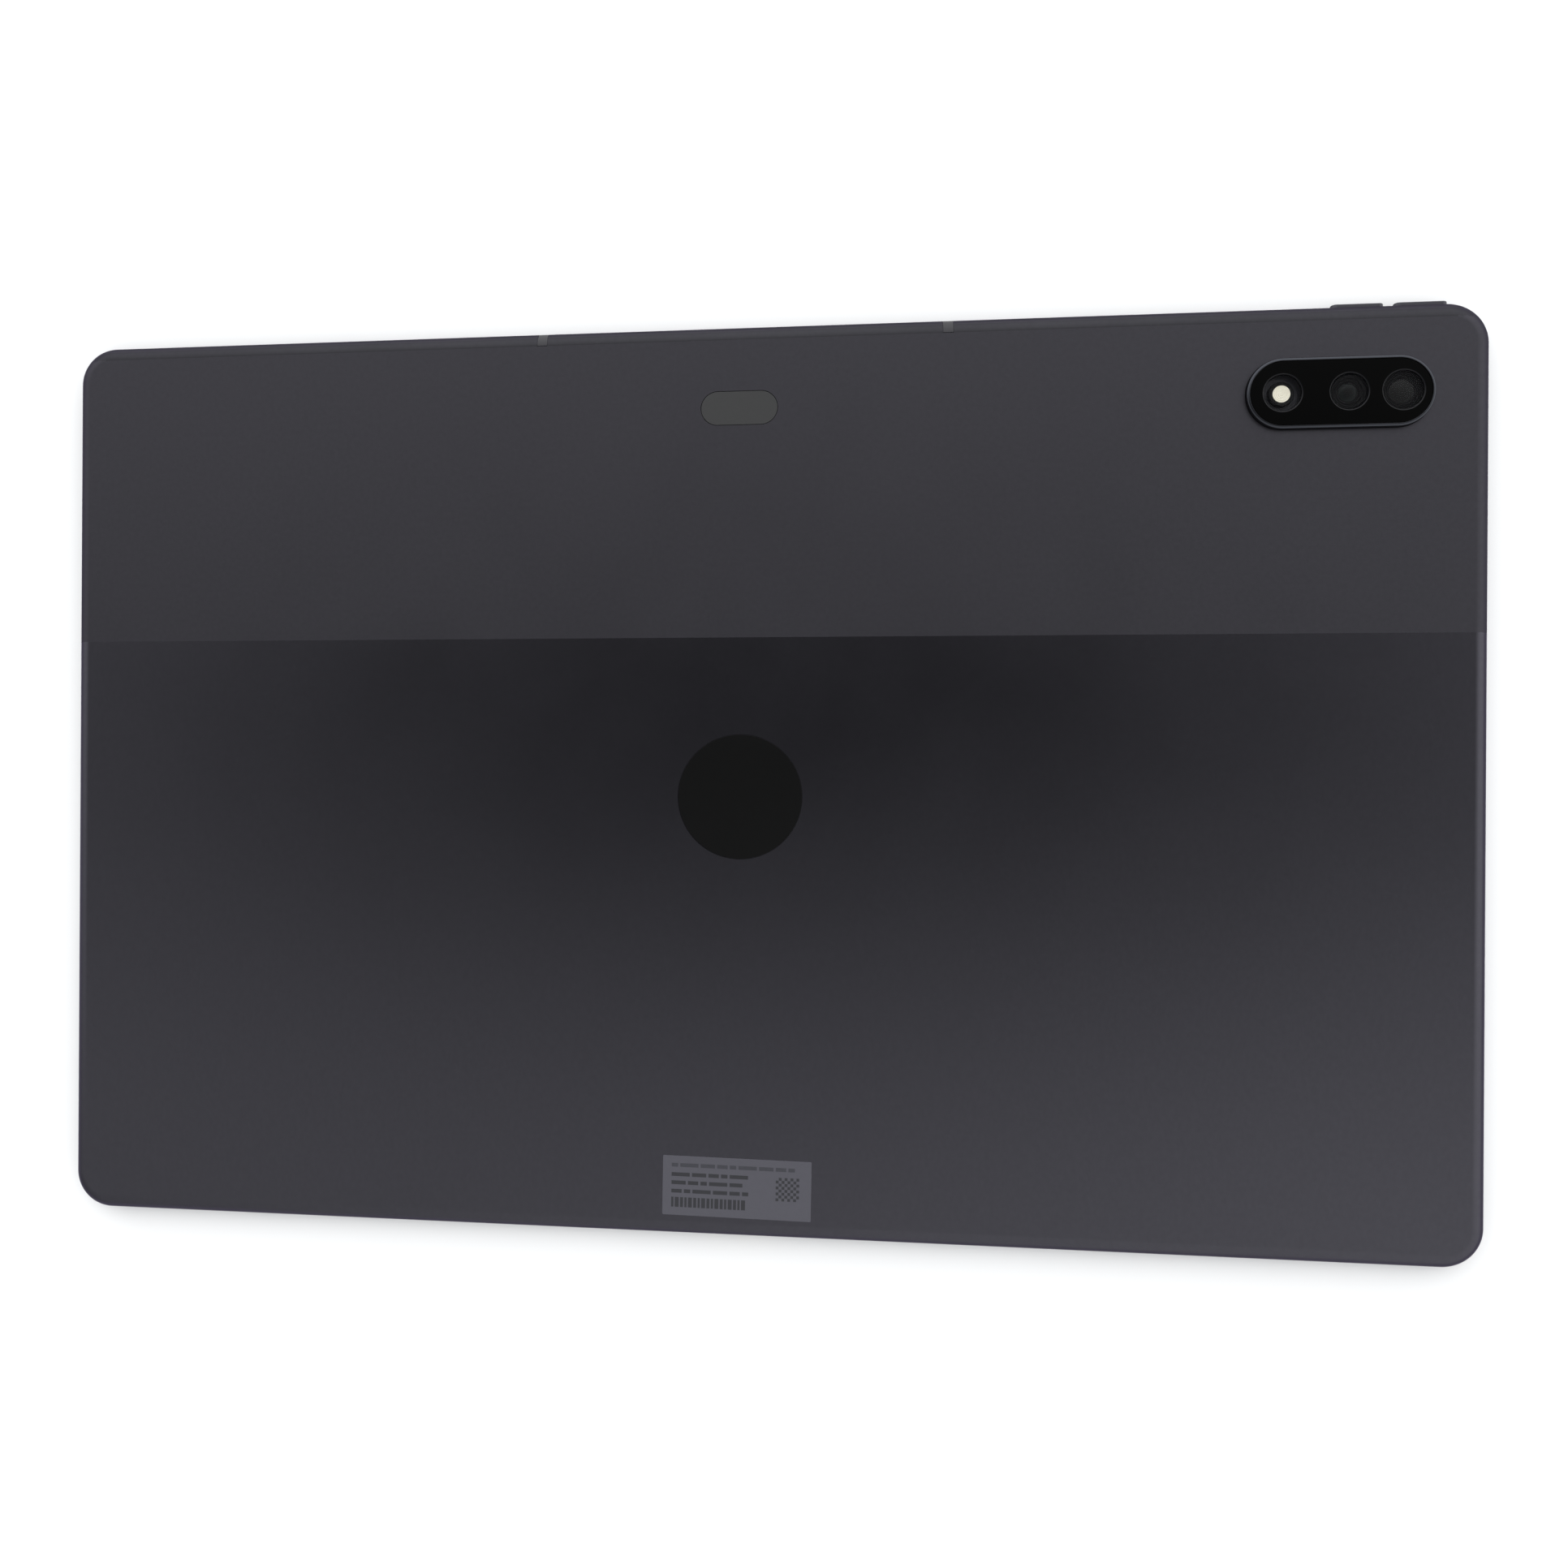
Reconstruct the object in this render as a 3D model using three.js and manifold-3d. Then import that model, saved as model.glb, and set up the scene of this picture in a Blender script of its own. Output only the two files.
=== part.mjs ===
// A slate tablet computer, lying on its screen. Sizes are in millimetres.
// +X runs along the long side, +Y points to the edge with the volume keys, and +Z out of the back.
// Z = 0 is the outer face of the cover glass, and X = Y = 0 is the middle of the back.
import * as THREE from "three";
import { mergeVertices } from "three/addons/utils/BufferGeometryUtils.js";
import Module from "manifold-3d";

const wasm = await Module();
wasm.setup();

// ---------------------------------------------------------------- driving dimensions

// Overall
const LENGTH = 285.6;
const WIDTH = 184.5;
const THICKNESS = 5.6;
const CORNER_RADIUS = 8;
const EDGE_RADIUS = 3.3; // from the side wall to the flat back
const RIM_Z = 0.12; // the housing's rim stands this far behind the glass face
const RIM_BEVEL = 0.4;
const SIDE_WALL = 3;
const BACK_WALL = 0.8;

// Clearances
const FIT_GAP = 0.1; // round an inserted piece
const GLUE_GAP = 0.02; // between stacked sheets
const KEY_GAP = 0.12; // round a key in its slot

// Facets
const CORNER_STEPS = 7; // in each corner of the outline
const EDGE_STEPS = 5; // round the edge
const SMALL_STEPS = 5; // in each corner or half end of a small outline
const ROUND_STEPS = 20; // in a full circle

// Screen
const GLASS = { inset: 1, thickness: 0.6, bevel: 0.2 };
const LEDGE_Z = 0.75; // where the housing carries the glass
const PANEL = { length: 272.4, width: 170.4, low: 0.62, high: 1.12, radius: 3 };
const MIDFRAME = { low: 1.3, high: 1.65, gap: 0.4 };

// Rear cameras
const ISLAND = { x: 114.7, y: 74.9, length: 34.5, width: 13.5, top: 6.6, chamfer: 0.3, wall: 0.55 };
const ISLAND_FLANGE = { overlap: 1.3, low: 4.35, high: 4.75 };
const ISLAND_FLOOR_Z = 5;
const ISLAND_LEDGE = { width: 0.4, z: 5.9 };
const ISLAND_GLASS = { low: 5.95, high: 6.5 };
const LENS_ROW_Y = 75;
const CAMERA_TOP_Z = 5.8;
const MAIN_CAMERA = { x: 126.1, body: 10.6, barrel: 8.4, low: 1.75 };
const SECOND_CAMERA = { x: 116.3, body: 8.4, barrel: 6.6, low: 2 };
const FLASH = { x: 104.1, body: 6, barrel: 4.6, low: 3 };

// Back inlays
const PEN_WINDOW = { x: -0.4, y: 75.2, length: 15.4, width: 6.7, flange: 1, lip: 0.4 };
const PEN_COIL = { low: 3.75, high: 4.2, band: 2.2 };
const EMBLEM = { x: 0.2, y: -3.1, diameter: 25, depth: 0.3 };
const LABEL = { x: 0, y: -81.9, length: 30, width: 12, thickness: 0.08, glue: 0.005, tilt: -0.6 };
const ANTENNA = { x: 41, width: 2, depth: 1.3 };

// Keys. Each stands in a slot of the side wall, with a flange that keeps it in.
const KEY = { height: 1.9, z: 2.3, capInset: 0.05, neckHigh: 3.1 };
const KEY_FLANGE = { gap: 0.25, thickness: 0.4, low: 1.75, high: 3.7 };
const KEY_NUB = { length: 1.4, reach: 0.2, low: 2.2, high: 3.2 };
const VOLUME_KEY = { length: 9.7, gap: 1.9, pairX: 124.8, proud: 0.57, bevel: 0.25, flangeExtra: 0.6 };
const POWER_KEY = { length: 16, y: 70, recess: 0.1, bevel: 0.15, flangeExtra: 1.6 };
const SWITCH = { gap: 0.35, domeDiameter: 2.2, domeHeight: 0.4, domeZ: 3 };
const SWITCH_BOARD = { thickness: 0.4, margin: 5, low: 1.8, high: 4.4 };

// USB-C socket, left short edge
const USB = { y: 0, z: 2.8, mouthLength: 8.34, mouthHeight: 2.56, wall: 0.2, depth: 6.9 };
const USB_SKIN = 1.2; // metal left in front of the socket's shell
const USB_TONGUE = { width: 6.69, height: 0.7, setBack: 0.5, base: 1 };

// Card tray, left short edge
const TRAY = { y: 20, z: 2.43, width: 12.8, height: 0.9, innerX: -122.5 };
const TRAY_DOOR = { y: 21.5, length: 17.6, height: 1.9, thickness: 0.9, surfaceGap: 0.05 };
const CARD = { length: 15.2, width: 11.2, depth: 0.7, lip: 0.9, fromDoor: 2 };
const TRAY_SLOT = { width: 14, height: 1.5 };
const SEAL = { width: 13.8, height: 1.3, thickness: 0.5, bore: 0.05, radius: 0.4 };
const SOCKET = { xLow: -138.6, xHigh: -118.4, wall: 0.2, clearance: 0.3, play: 0.1 };
const ROD = { y: 28.3, diameter: 1, bore: 1.3, xLow: -141.2, xHigh: -122.25, channel: 1.8 };
const PIN_HOLE = 1; // in the tray's door, for the ejector pin
const LEVER = { x: -120.9, y: 25.2, lean: 12.4, up: 3.4, down: 4.4, width: 1, low: 2.2, high: 2.66 };
const LEVER_PIVOT = { post: 1, bore: 1.3, boss: 2.1, clearOfTray: 0.5 };

// Speakers and microphones
const GRILLE = { y: 44, slots: 6, pitch: 3.4, length: 2.4, height: 1, z: 2.3 };
const SPEAKER = {
  y: 46,
  length: 25,
  width: 28,
  radius: 2,
  wallGap: 0.9,
  low: 1.75,
  high: 4.7,
  cone: { length: 16, width: 18, radius: 3, depth: 0.5, offset: 2 },
};
const SPEAKER_MESH = { length: 20.6, height: 1.7, thickness: 0.25, wallGap: 0.1, z: 2.6 };
const MICROPHONE = { x: 70, hole: 0.8, length: 3.6, depth: 2.6, low: 1.8, high: 2.9 };

// Dock contacts, lower edge
const DOCK = { length: 16, height: 2, z: 2, recess: 0.1, flange: 1.2, flangeThickness: 0.6, lipHigh: 4 };
const CONTACT = { pitch: 5, diameter: 1.5, count: 3, recess: 0.05 };
const MAGNET = { x: 50, y: -85.6, length: 40, width: 4, low: 2, high: 4.4 };

// Boards, battery and what stands on them
const MAIN_BOARD = { xLow: -62, xHigh: 96, yLow: 42, yHigh: 84, low: 2.5, high: 3.1 };
const IO_BOARD = { xLow: -138, xHigh: -109.5, yLow: -12, yHigh: 30, low: 3.3, high: 3.9 };
const SHIELD = { low: 3.15, high: 4.5, wall: 0.2 };
const GRAPHITE = { low: 4.56, high: 4.66, margin: 1 };
const SCREW = { inset: 5, headDiameter: 2.6, head: 0.4, diameter: 1, tip: 4.4 };
const BOSS = { diameter: 3.6, bore: 1.3, boreTop: 4.6, low: 3.2 };
const PROCESSOR_SHIELD = { x: 41, y: 63, length: 42, width: 34 };
const POWER_SHIELD = { x: -33, y: 55, length: 34, width: 18 };
const DISPLAY_FLEX = { x: 76, length: 24, fold: 40.4, film: 0.12, lowRun: 10, highRun: 7 };
const IO_FLEX = { left: -112.8, right: -59, bottom: 12, top: 74, width: 4.4, runWidth: 6 };
const BATTERY = { length: 105, width: 95, gap: 4, y: -14.5, low: 1.75, high: 4.5, radius: 2, bevel: 0.5 };
const BATTERY_BOARD = { length: 80, width: 5, gap: 1.5, low: 2.4, high: 2.9 };
const FRONT_CAMERA = { x: 0, y: 86.8, barrel: 2.8, length: 5, width: 4.4, low: 1.7, high: 4.2 };
const DEPTH_SENSOR = { x: 8, y: 86.8, barrel: 2.4, length: 5, width: 3.6, low: 1.7, high: 3.4 };

// ---------------------------------------------------------------- derived values

const SIDE_X = LENGTH / 2;
const SIDE_Y = WIDTH / 2;
const INNER_X = SIDE_X - SIDE_WALL;
const INNER_Y = SIDE_Y - SIDE_WALL;
const INNER_BACK_Z = THICKNESS - BACK_WALL;
const OUTSIDE = 2; // how far a cutting tool reaches past the face it opens
const INLAY_TOP_Z = THICKNESS - 0.01;

// The inner end of the USB-C socket.
function usbBackX() {
  return -SIDE_X + USB_SKIN + FIT_GAP + USB.depth + USB_TONGUE.base / 2;
}

// ---------------------------------------------------------------- shapes and solids

// Points on an arc, both ends included.
function arc(x, y, radius, fromDegrees, toDegrees, steps) {
  const points = [];
  for (let i = 0; i <= steps; i += 1) {
    const angle = THREE.MathUtils.degToRad(fromDegrees + ((toDegrees - fromDegrees) * i) / steps);
    points.push(new THREE.Vector2(x + radius * Math.cos(angle), y + radius * Math.sin(angle)));
  }
  return points;
}

function roundedRectPoints(length, width, radius, steps = SMALL_STEPS) {
  const x = length / 2 - radius;
  const y = width / 2 - radius;
  return [
    ...arc(x, y, radius, 0, 90, steps),
    ...arc(-x, y, radius, 90, 180, steps),
    ...arc(-x, -y, radius, 180, 270, steps),
    ...arc(x, -y, radius, 270, 360, steps),
  ];
}

function stadiumPoints(length, width, steps = 2 * SMALL_STEPS) {
  const radius = width / 2;
  const x = length / 2 - radius;
  return [...arc(x, 0, radius, -90, 90, steps), ...arc(-x, 0, radius, 90, 270, steps)];
}

function roundedRect(length, width, radius, steps) {
  return new THREE.Shape(roundedRectPoints(length, width, radius, steps));
}

function stadium(length, width, steps) {
  return new THREE.Shape(stadiumPoints(length, width, steps));
}

function circle(diameter, steps = ROUND_STEPS) {
  return new THREE.Shape(arc(0, 0, diameter / 2, 0, 360, steps).slice(0, steps));
}

function rectangle(length, width) {
  const [x, y] = [length / 2, width / 2];
  const corners = [
    [-x, -y],
    [x, -y],
    [x, y],
    [-x, y],
  ];
  return new THREE.Shape(corners.map(([u, v]) => new THREE.Vector2(u, v)));
}

// The tablet's own outline, drawn in by a distance.
function bodyOutline(inset) {
  return roundedRectPoints(LENGTH - 2 * inset, WIDTH - 2 * inset, CORNER_RADIUS - inset, CORNER_STEPS);
}

function solidOf(geometry) {
  const bare = geometry.clone();
  bare.deleteAttribute("normal");
  bare.deleteAttribute("uv");
  const merged = mergeVertices(bare, 1e-4);
  return new wasm.Manifold(
    new wasm.Mesh({
      numProp: 3,
      vertProperties: new Float32Array(merged.attributes.position.array),
      triVerts: new Uint32Array(merged.index.array),
    }),
  );
}

function geometryOf(solid) {
  const { vertProperties, triVerts, numProp } = solid.getMesh();
  const positions = new Float32Array((vertProperties.length / numProp) * 3);
  for (let i = 0; i < positions.length / 3; i += 1) {
    for (let axis = 0; axis < 3; axis += 1) {
      positions[3 * i + axis] = vertProperties[numProp * i + axis];
    }
  }
  const geometry = new THREE.BufferGeometry();
  geometry.setAttribute("position", new THREE.BufferAttribute(positions, 3));
  geometry.setIndex(new THREE.BufferAttribute(new Uint32Array(triVerts), 1));
  geometry.computeVertexNormals();
  return geometry;
}

function join(first, ...others) {
  return others.reduce((whole, piece) => whole.add(piece), first);
}

function cut(base, ...tools) {
  return tools.reduce((rest, tool) => rest.subtract(tool), base);
}

// A straight prism along Z, standing on the shape's outline.
function prism(shape, low, high, x = 0, y = 0) {
  const geometry = new THREE.ExtrudeGeometry(shape, { depth: high - low, bevelEnabled: false });
  geometry.translate(x, y, low);
  return solidOf(geometry);
}

// A prism along X. The shape's own x and y run along Y and Z.
function prismAlongX(shape, low, high, y, z) {
  const geometry = new THREE.ExtrudeGeometry(shape, { depth: high - low, bevelEnabled: false });
  const axes = [new THREE.Vector3(0, 1, 0), new THREE.Vector3(0, 0, 1), new THREE.Vector3(1, 0, 0)];
  geometry.applyMatrix4(new THREE.Matrix4().makeBasis(...axes));
  geometry.translate(low, y, z);
  return solidOf(geometry);
}

// A prism along Y. The shape's own x and y run along X and Z.
function prismAlongY(shape, low, high, x, z) {
  const geometry = new THREE.ExtrudeGeometry(shape, { depth: high - low, bevelEnabled: false });
  const axes = [new THREE.Vector3(1, 0, 0), new THREE.Vector3(0, 0, 1), new THREE.Vector3(0, -1, 0)];
  geometry.applyMatrix4(new THREE.Matrix4().makeBasis(...axes));
  geometry.translate(x, high, z);
  return solidOf(geometry);
}

function block(xLow, xHigh, yLow, yHigh, low, high) {
  const geometry = new THREE.BoxGeometry(xHigh - xLow, yHigh - yLow, high - low);
  geometry.translate((xLow + xHigh) / 2, (yLow + yHigh) / 2, (low + high) / 2);
  return solidOf(geometry);
}

// A block centred on a point of the XY plane.
function blockAt(x, y, length, width, low, high) {
  return block(x - length / 2, x + length / 2, y - width / 2, y + width / 2, low, high);
}

// A closed body through level outlines of equal point counts, from the lowest to the highest.
function loft(sections) {
  const count = sections[0].points.length;
  const positions = sections.flatMap(({ points, z }) => points.flatMap((p) => [p.x, p.y, z]));
  const index = [];
  for (let level = 0; level + 1 < sections.length; level += 1) {
    for (let i = 0; i < count; i += 1) {
      const next = (i + 1) % count;
      const [a, b] = [level * count + i, level * count + next];
      const [c, d] = [b + count, a + count];
      index.push(a, b, c, a, c, d);
    }
  }
  const cap = THREE.ShapeUtils.triangulateShape(sections[0].points, []);
  const top = (sections.length - 1) * count;
  cap.forEach(([a, b, c]) => index.push(c, b, a, top + a, top + b, top + c));
  const geometry = new THREE.BufferGeometry();
  geometry.setAttribute("position", new THREE.Float32BufferAttribute(positions, 3));
  geometry.setIndex(index);
  return solidOf(geometry);
}

// The tablet's outer form, drawn in on every side by a distance.
function outerForm(inset) {
  const radius = EDGE_RADIUS - inset;
  const top = THICKNESS - inset;
  const sections = [
    { points: bodyOutline(inset + RIM_BEVEL), z: RIM_Z },
    { points: bodyOutline(inset), z: RIM_Z + RIM_BEVEL },
  ];
  for (let i = 0; i <= EDGE_STEPS; i += 1) {
    const angle = (Math.PI / 2) * (i / EDGE_STEPS);
    const drawnIn = inset + radius * (1 - Math.cos(angle));
    sections.push({ points: bodyOutline(drawnIn), z: top - radius + radius * Math.sin(angle) });
  }
  return loft(sections);
}

// ---------------------------------------------------------------- the assembly

const tablet = new THREE.Group();
tablet.name = "tablet_computer";

const FINISHES = {
  housingMetal: { color: 0x3d3d42, roughness: 0.42, metalness: 0.9 },
  blackGlass: { color: 0x08090b, roughness: 0.06, metalness: 0 },
  chamferMetal: { color: 0x6d6f78, roughness: 0.2, metalness: 1 },
  inlayPlastic: { color: 0x464644, roughness: 0.5, metalness: 0 },
  polishedInlay: { color: 0x171717, roughness: 0.12, metalness: 0.4 },
  labelFilm: { color: 0x58585f, roughness: 0.45, metalness: 0 },
  antennaPlastic: { color: 0x39383d, roughness: 0.55, metalness: 0 },
  steel: { color: 0x9a9ca0, roughness: 0.3, metalness: 1 },
  gold: { color: 0xc9a45a, roughness: 0.25, metalness: 1 },
  rubber: { color: 0x1b1b1d, roughness: 0.8, metalness: 0 },
  blackPlastic: { color: 0x141416, roughness: 0.5, metalness: 0 },
  board: { color: 0x14301f, roughness: 0.5, metalness: 0 },
  flexFilm: { color: 0x5a3a12, roughness: 0.4, metalness: 0 },
  graphite: { color: 0x2a2b2e, roughness: 0.6, metalness: 0.2 },
  batteryPouch: { color: 0x25262a, roughness: 0.35, metalness: 0.3 },
  copper: { color: 0xb4673b, roughness: 0.35, metalness: 1 },
  lampLens: { color: 0xe9e6cf, roughness: 0.25, metalness: 0 },
};

// A part is placed by its position on the back and its turn about Z, in degrees.
function addPart(name, solid, finish, place = {}) {
  const { x = 0, y = 0, turn = 0 } = place;
  const mesh = new THREE.Mesh(geometryOf(solid), new THREE.MeshStandardMaterial(FINISHES[finish]));
  mesh.name = name;
  mesh.position.set(x, y, 0);
  mesh.rotation.z = THREE.MathUtils.degToRad(turn);
  tablet.add(mesh);
}

// ---------------------------------------------------------------- rear housing

function keySlot(length) {
  return stadium(length + 2 * KEY_GAP, KEY.height + 2 * KEY_GAP);
}

function volumeKeyX(side) {
  return VOLUME_KEY.pairX + (side * (VOLUME_KEY.length + VOLUME_KEY.gap)) / 2;
}

function backOpenings() {
  const { x, y, length, width } = ISLAND;
  const cameraHole = stadium(length + 2 * FIT_GAP, width + 2 * FIT_GAP, 3 * SMALL_STEPS);
  const penHole = stadium(PEN_WINDOW.length + 2 * FIT_GAP, PEN_WINDOW.width + 2 * FIT_GAP);
  const emblemHole = circle(EMBLEM.diameter + 2 * FIT_GAP, 2 * ROUND_STEPS);
  const above = THICKNESS + OUTSIDE;
  return [
    prism(cameraHole, INNER_BACK_Z - OUTSIDE, above, x, y),
    prism(penHole, INNER_BACK_Z - OUTSIDE, above, PEN_WINDOW.x, PEN_WINDOW.y),
    prism(emblemHole, THICKNESS - EMBLEM.depth, above, EMBLEM.x, EMBLEM.y),
  ];
}

function keyOpenings() {
  const powerFrom = INNER_X - OUTSIDE;
  const openings = [
    prismAlongX(keySlot(POWER_KEY.length), powerFrom, SIDE_X + OUTSIDE, POWER_KEY.y, KEY.z),
  ];
  for (const side of [-1, 1]) {
    const slot = keySlot(VOLUME_KEY.length);
    openings.push(prismAlongY(slot, INNER_Y - OUTSIDE, SIDE_Y + OUTSIDE, volumeKeyX(side), KEY.z));
  }
  return openings;
}

function socketOpenings() {
  const outer = -SIDE_X - OUTSIDE;
  const inner = -INNER_X + OUTSIDE;
  const mouth = stadium(USB.mouthLength + 2 * FIT_GAP, USB.mouthHeight + 2 * FIT_GAP);
  const shellLength = USB.mouthLength + 2 * USB.wall + 2 * FIT_GAP;
  const shellHeight = USB.mouthHeight + 2 * USB.wall + 2 * FIT_GAP;
  const doorLength = TRAY_DOOR.length + 2 * FIT_GAP;
  const doorHeight = TRAY_DOOR.height + 2 * FIT_GAP;
  const doorBack = -SIDE_X + TRAY_DOOR.thickness + FIT_GAP;
  return [
    prismAlongX(mouth, outer, inner, USB.y, USB.z),
    prismAlongX(stadium(shellLength, shellHeight), -SIDE_X + USB_SKIN, inner, USB.y, USB.z),
    prismAlongX(stadium(doorLength, doorHeight), outer, doorBack, TRAY_DOOR.y, TRAY.z),
    prismAlongX(rectangle(TRAY_SLOT.width, TRAY_SLOT.height), outer, inner, TRAY.y, TRAY.z),
    prismAlongX(circle(ROD.bore, 12), outer, inner, ROD.y, TRAY.z),
  ];
}

function soundOpenings() {
  const openings = [];
  const slot = stadium(GRILLE.length, GRILLE.height, SMALL_STEPS);
  for (const sideX of [-1, 1]) {
    const xLow = sideX < 0 ? -SIDE_X - OUTSIDE : INNER_X - OUTSIDE;
    const xHigh = xLow + SIDE_WALL + 2 * OUTSIDE;
    for (const sideY of [-1, 1]) {
      for (let i = 0; i < GRILLE.slots; i += 1) {
        const y = sideY * GRILLE.y + (i - (GRILLE.slots - 1) / 2) * GRILLE.pitch;
        openings.push(prismAlongX(slot, xLow, xHigh, y, GRILLE.z));
      }
    }
    const soundHole = circle(MICROPHONE.hole, 8);
    const [yLow, yHigh] = [INNER_Y - OUTSIDE, SIDE_Y + OUTSIDE];
    openings.push(prismAlongY(soundHole, yLow, yHigh, sideX * MICROPHONE.x, GRILLE.z));
  }
  return openings;
}

function dockOpening() {
  const hole = stadium(DOCK.length + 2 * FIT_GAP, DOCK.height + 2 * FIT_GAP);
  return prismAlongY(hole, -SIDE_Y - OUTSIDE, -INNER_Y + OUTSIDE, 0, DOCK.z);
}

// The shell-shaped space that an antenna strip fills in the top edge, wider than it by the gap.
function antennaSpace(x, gap, depth) {
  const flatStart = SIDE_Y - EDGE_RADIUS;
  const reach = EDGE_RADIUS + OUTSIDE;
  const width = ANTENNA.width + 2 * gap;
  const zone = blockAt(x, flatStart + reach / 2, width, reach, -OUTSIDE, THICKNESS + OUTSIDE);
  return zone.subtract(outerForm(depth));
}

function screwPlaces() {
  const { inset } = SCREW;
  const places = [];
  for (const x of [MAIN_BOARD.xLow + inset, MAIN_BOARD.xHigh - inset]) {
    for (const y of [MAIN_BOARD.yLow + inset, MAIN_BOARD.yHigh - inset]) {
      places.push({ x, y });
    }
  }
  return places;
}

function screwBoss({ x, y }) {
  const post = prism(circle(BOSS.diameter, 12), BOSS.low, INNER_BACK_Z + BACK_WALL / 2, x, y);
  return post.subtract(prism(circle(BOSS.bore, 8), BOSS.low - 1, BOSS.boreTop, x, y));
}

function rearHousing() {
  const pocketInset = GLASS.inset - FIT_GAP;
  const glassPocket = prism(new THREE.Shape(bodyOutline(pocketInset)), -OUTSIDE, LEDGE_Z);
  const cavity = prism(new THREE.Shape(bodyOutline(SIDE_WALL)), LEDGE_Z - OUTSIDE, INNER_BACK_Z);
  const antennaSlot = (side) => antennaSpace(side * ANTENNA.x, FIT_GAP / 2, ANTENNA.depth);
  const shell = cut(
    outerForm(0),
    glassPocket,
    cavity,
    ...backOpenings(),
    ...keyOpenings(),
    ...socketOpenings(),
    ...soundOpenings(),
    dockOpening(),
    antennaSlot(-1),
    antennaSlot(1),
  );
  return join(shell, ...screwPlaces().map(screwBoss));
}

// ---------------------------------------------------------------- screen side

function coverGlass() {
  const { inset, thickness, bevel } = GLASS;
  return loft([
    { points: bodyOutline(inset + bevel), z: 0 },
    { points: bodyOutline(inset), z: bevel },
    { points: bodyOutline(inset), z: thickness },
  ]);
}

function displayAdhesive() {
  const [low, high] = [GLASS.thickness + GLUE_GAP, LEDGE_Z - GLUE_GAP];
  const outside = prism(new THREE.Shape(bodyOutline(GLASS.inset + FIT_GAP)), low, high);
  return outside.subtract(prism(new THREE.Shape(bodyOutline(SIDE_WALL - FIT_GAP)), low - 1, high + 1));
}

function midframePlate() {
  const { low, high, gap } = MIDFRAME;
  const plate = prism(new THREE.Shape(bodyOutline(SIDE_WALL + gap)), low, high);
  const usbHalf = USB.mouthLength / 2 + USB.wall + gap;
  const usbEnd = usbBackX() + gap;
  const { x, fold, length } = DISPLAY_FLEX;
  const flexSlot = blockAt(x, fold, length + 2 * gap, 2 * gap, low - 1, high + 1);
  return cut(
    plate,
    block(-SIDE_X, usbEnd, USB.y - usbHalf, USB.y + usbHalf, low - 1, high + 1),
    flexSlot,
    prism(circle(FRONT_CAMERA.barrel + 2 * gap, 12), low - 1, high + 1, FRONT_CAMERA.x, FRONT_CAMERA.y),
    prism(circle(DEPTH_SENSOR.barrel + 2 * gap, 12), low - 1, high + 1, DEPTH_SENSOR.x, DEPTH_SENSOR.y),
  );
}

// A small sensor behind the glass: a body and a barrel that reaches the glass through the midframe.
function frontSensor({ x, y, barrel, length, width, low, high }) {
  const body = blockAt(x, y, length, width, low, high);
  return body.add(prism(circle(barrel, 12), GLASS.thickness + GLUE_GAP, low + 1, x, y));
}

// ---------------------------------------------------------------- rear cameras

function cameraRing() {
  const { length, width, top, chamfer, wall } = ISLAND;
  const outline = (inset) => stadiumPoints(length - 2 * inset, width - 2 * inset, 3 * SMALL_STEPS);
  const body = loft([
    { points: outline(0), z: ISLAND_FLANGE.low },
    { points: outline(0), z: top - chamfer },
    { points: outline(chamfer), z: top },
  ]);
  const flange = prism(
    new THREE.Shape(outline(-ISLAND_FLANGE.overlap)),
    ISLAND_FLANGE.low,
    ISLAND_FLANGE.high,
  );
  const glassSeat = prism(new THREE.Shape(outline(wall)), ISLAND_LEDGE.z, top + OUTSIDE);
  const chamber = prism(new THREE.Shape(outline(wall + ISLAND_LEDGE.width)), ISLAND_FLOOR_Z, top);
  const rowY = LENS_ROW_Y - ISLAND.y;
  const holes = [MAIN_CAMERA, SECOND_CAMERA, FLASH].map(({ barrel, x }) =>
    prism(circle(barrel + 4 * FIT_GAP), 0, ISLAND_FLOOR_Z + OUTSIDE, x - ISLAND.x, rowY),
  );
  return cut(body.add(flange), glassSeat, chamber, ...holes);
}

function cameraCoverGlass() {
  const inset = ISLAND.wall + FIT_GAP;
  const outline = stadium(ISLAND.length - 2 * inset, ISLAND.width - 2 * inset, 3 * SMALL_STEPS);
  return prism(outline, ISLAND_GLASS.low, ISLAND_GLASS.high, ISLAND.x, ISLAND.y);
}

// A square body under the camera surround with a round barrel that reaches the cover glass.
function cameraModule({ x, body, barrel, low }) {
  const base = blockAt(x, LENS_ROW_Y, body, body, low, ISLAND_FLANGE.low - FIT_GAP);
  return base.add(prism(circle(barrel), low + 1, CAMERA_TOP_Z, x, LENS_ROW_Y));
}

// ---------------------------------------------------------------- inlays of the back

function penWindow() {
  const { x, y, length, width, flange, lip } = PEN_WINDOW;
  const lipTop = INNER_BACK_Z - GLUE_GAP;
  const face = prism(stadium(length, width), lipTop - lip, INLAY_TOP_Z, x, y);
  const lipShape = stadium(length + 2 * flange, width + 2 * flange);
  return face.add(prism(lipShape, lipTop - lip, lipTop, x, y));
}

function penCoil() {
  const { x, y, length, width } = PEN_WINDOW;
  const { low, high, band } = PEN_COIL;
  const winding = prism(stadium(length, width), low, high, x, y);
  return winding.subtract(prism(stadium(length - 2 * band, width - 2 * band), low - 1, high + 1, x, y));
}

function emblemDisc() {
  const low = THICKNESS - EMBLEM.depth + GLUE_GAP;
  return prism(circle(EMBLEM.diameter, 2 * ROUND_STEPS), low, INLAY_TOP_Z, EMBLEM.x, EMBLEM.y);
}

function ratingLabel() {
  const low = THICKNESS + LABEL.glue;
  return prism(roundedRect(LABEL.length, LABEL.width, 0.5, 3), low, low + LABEL.thickness);
}

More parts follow.
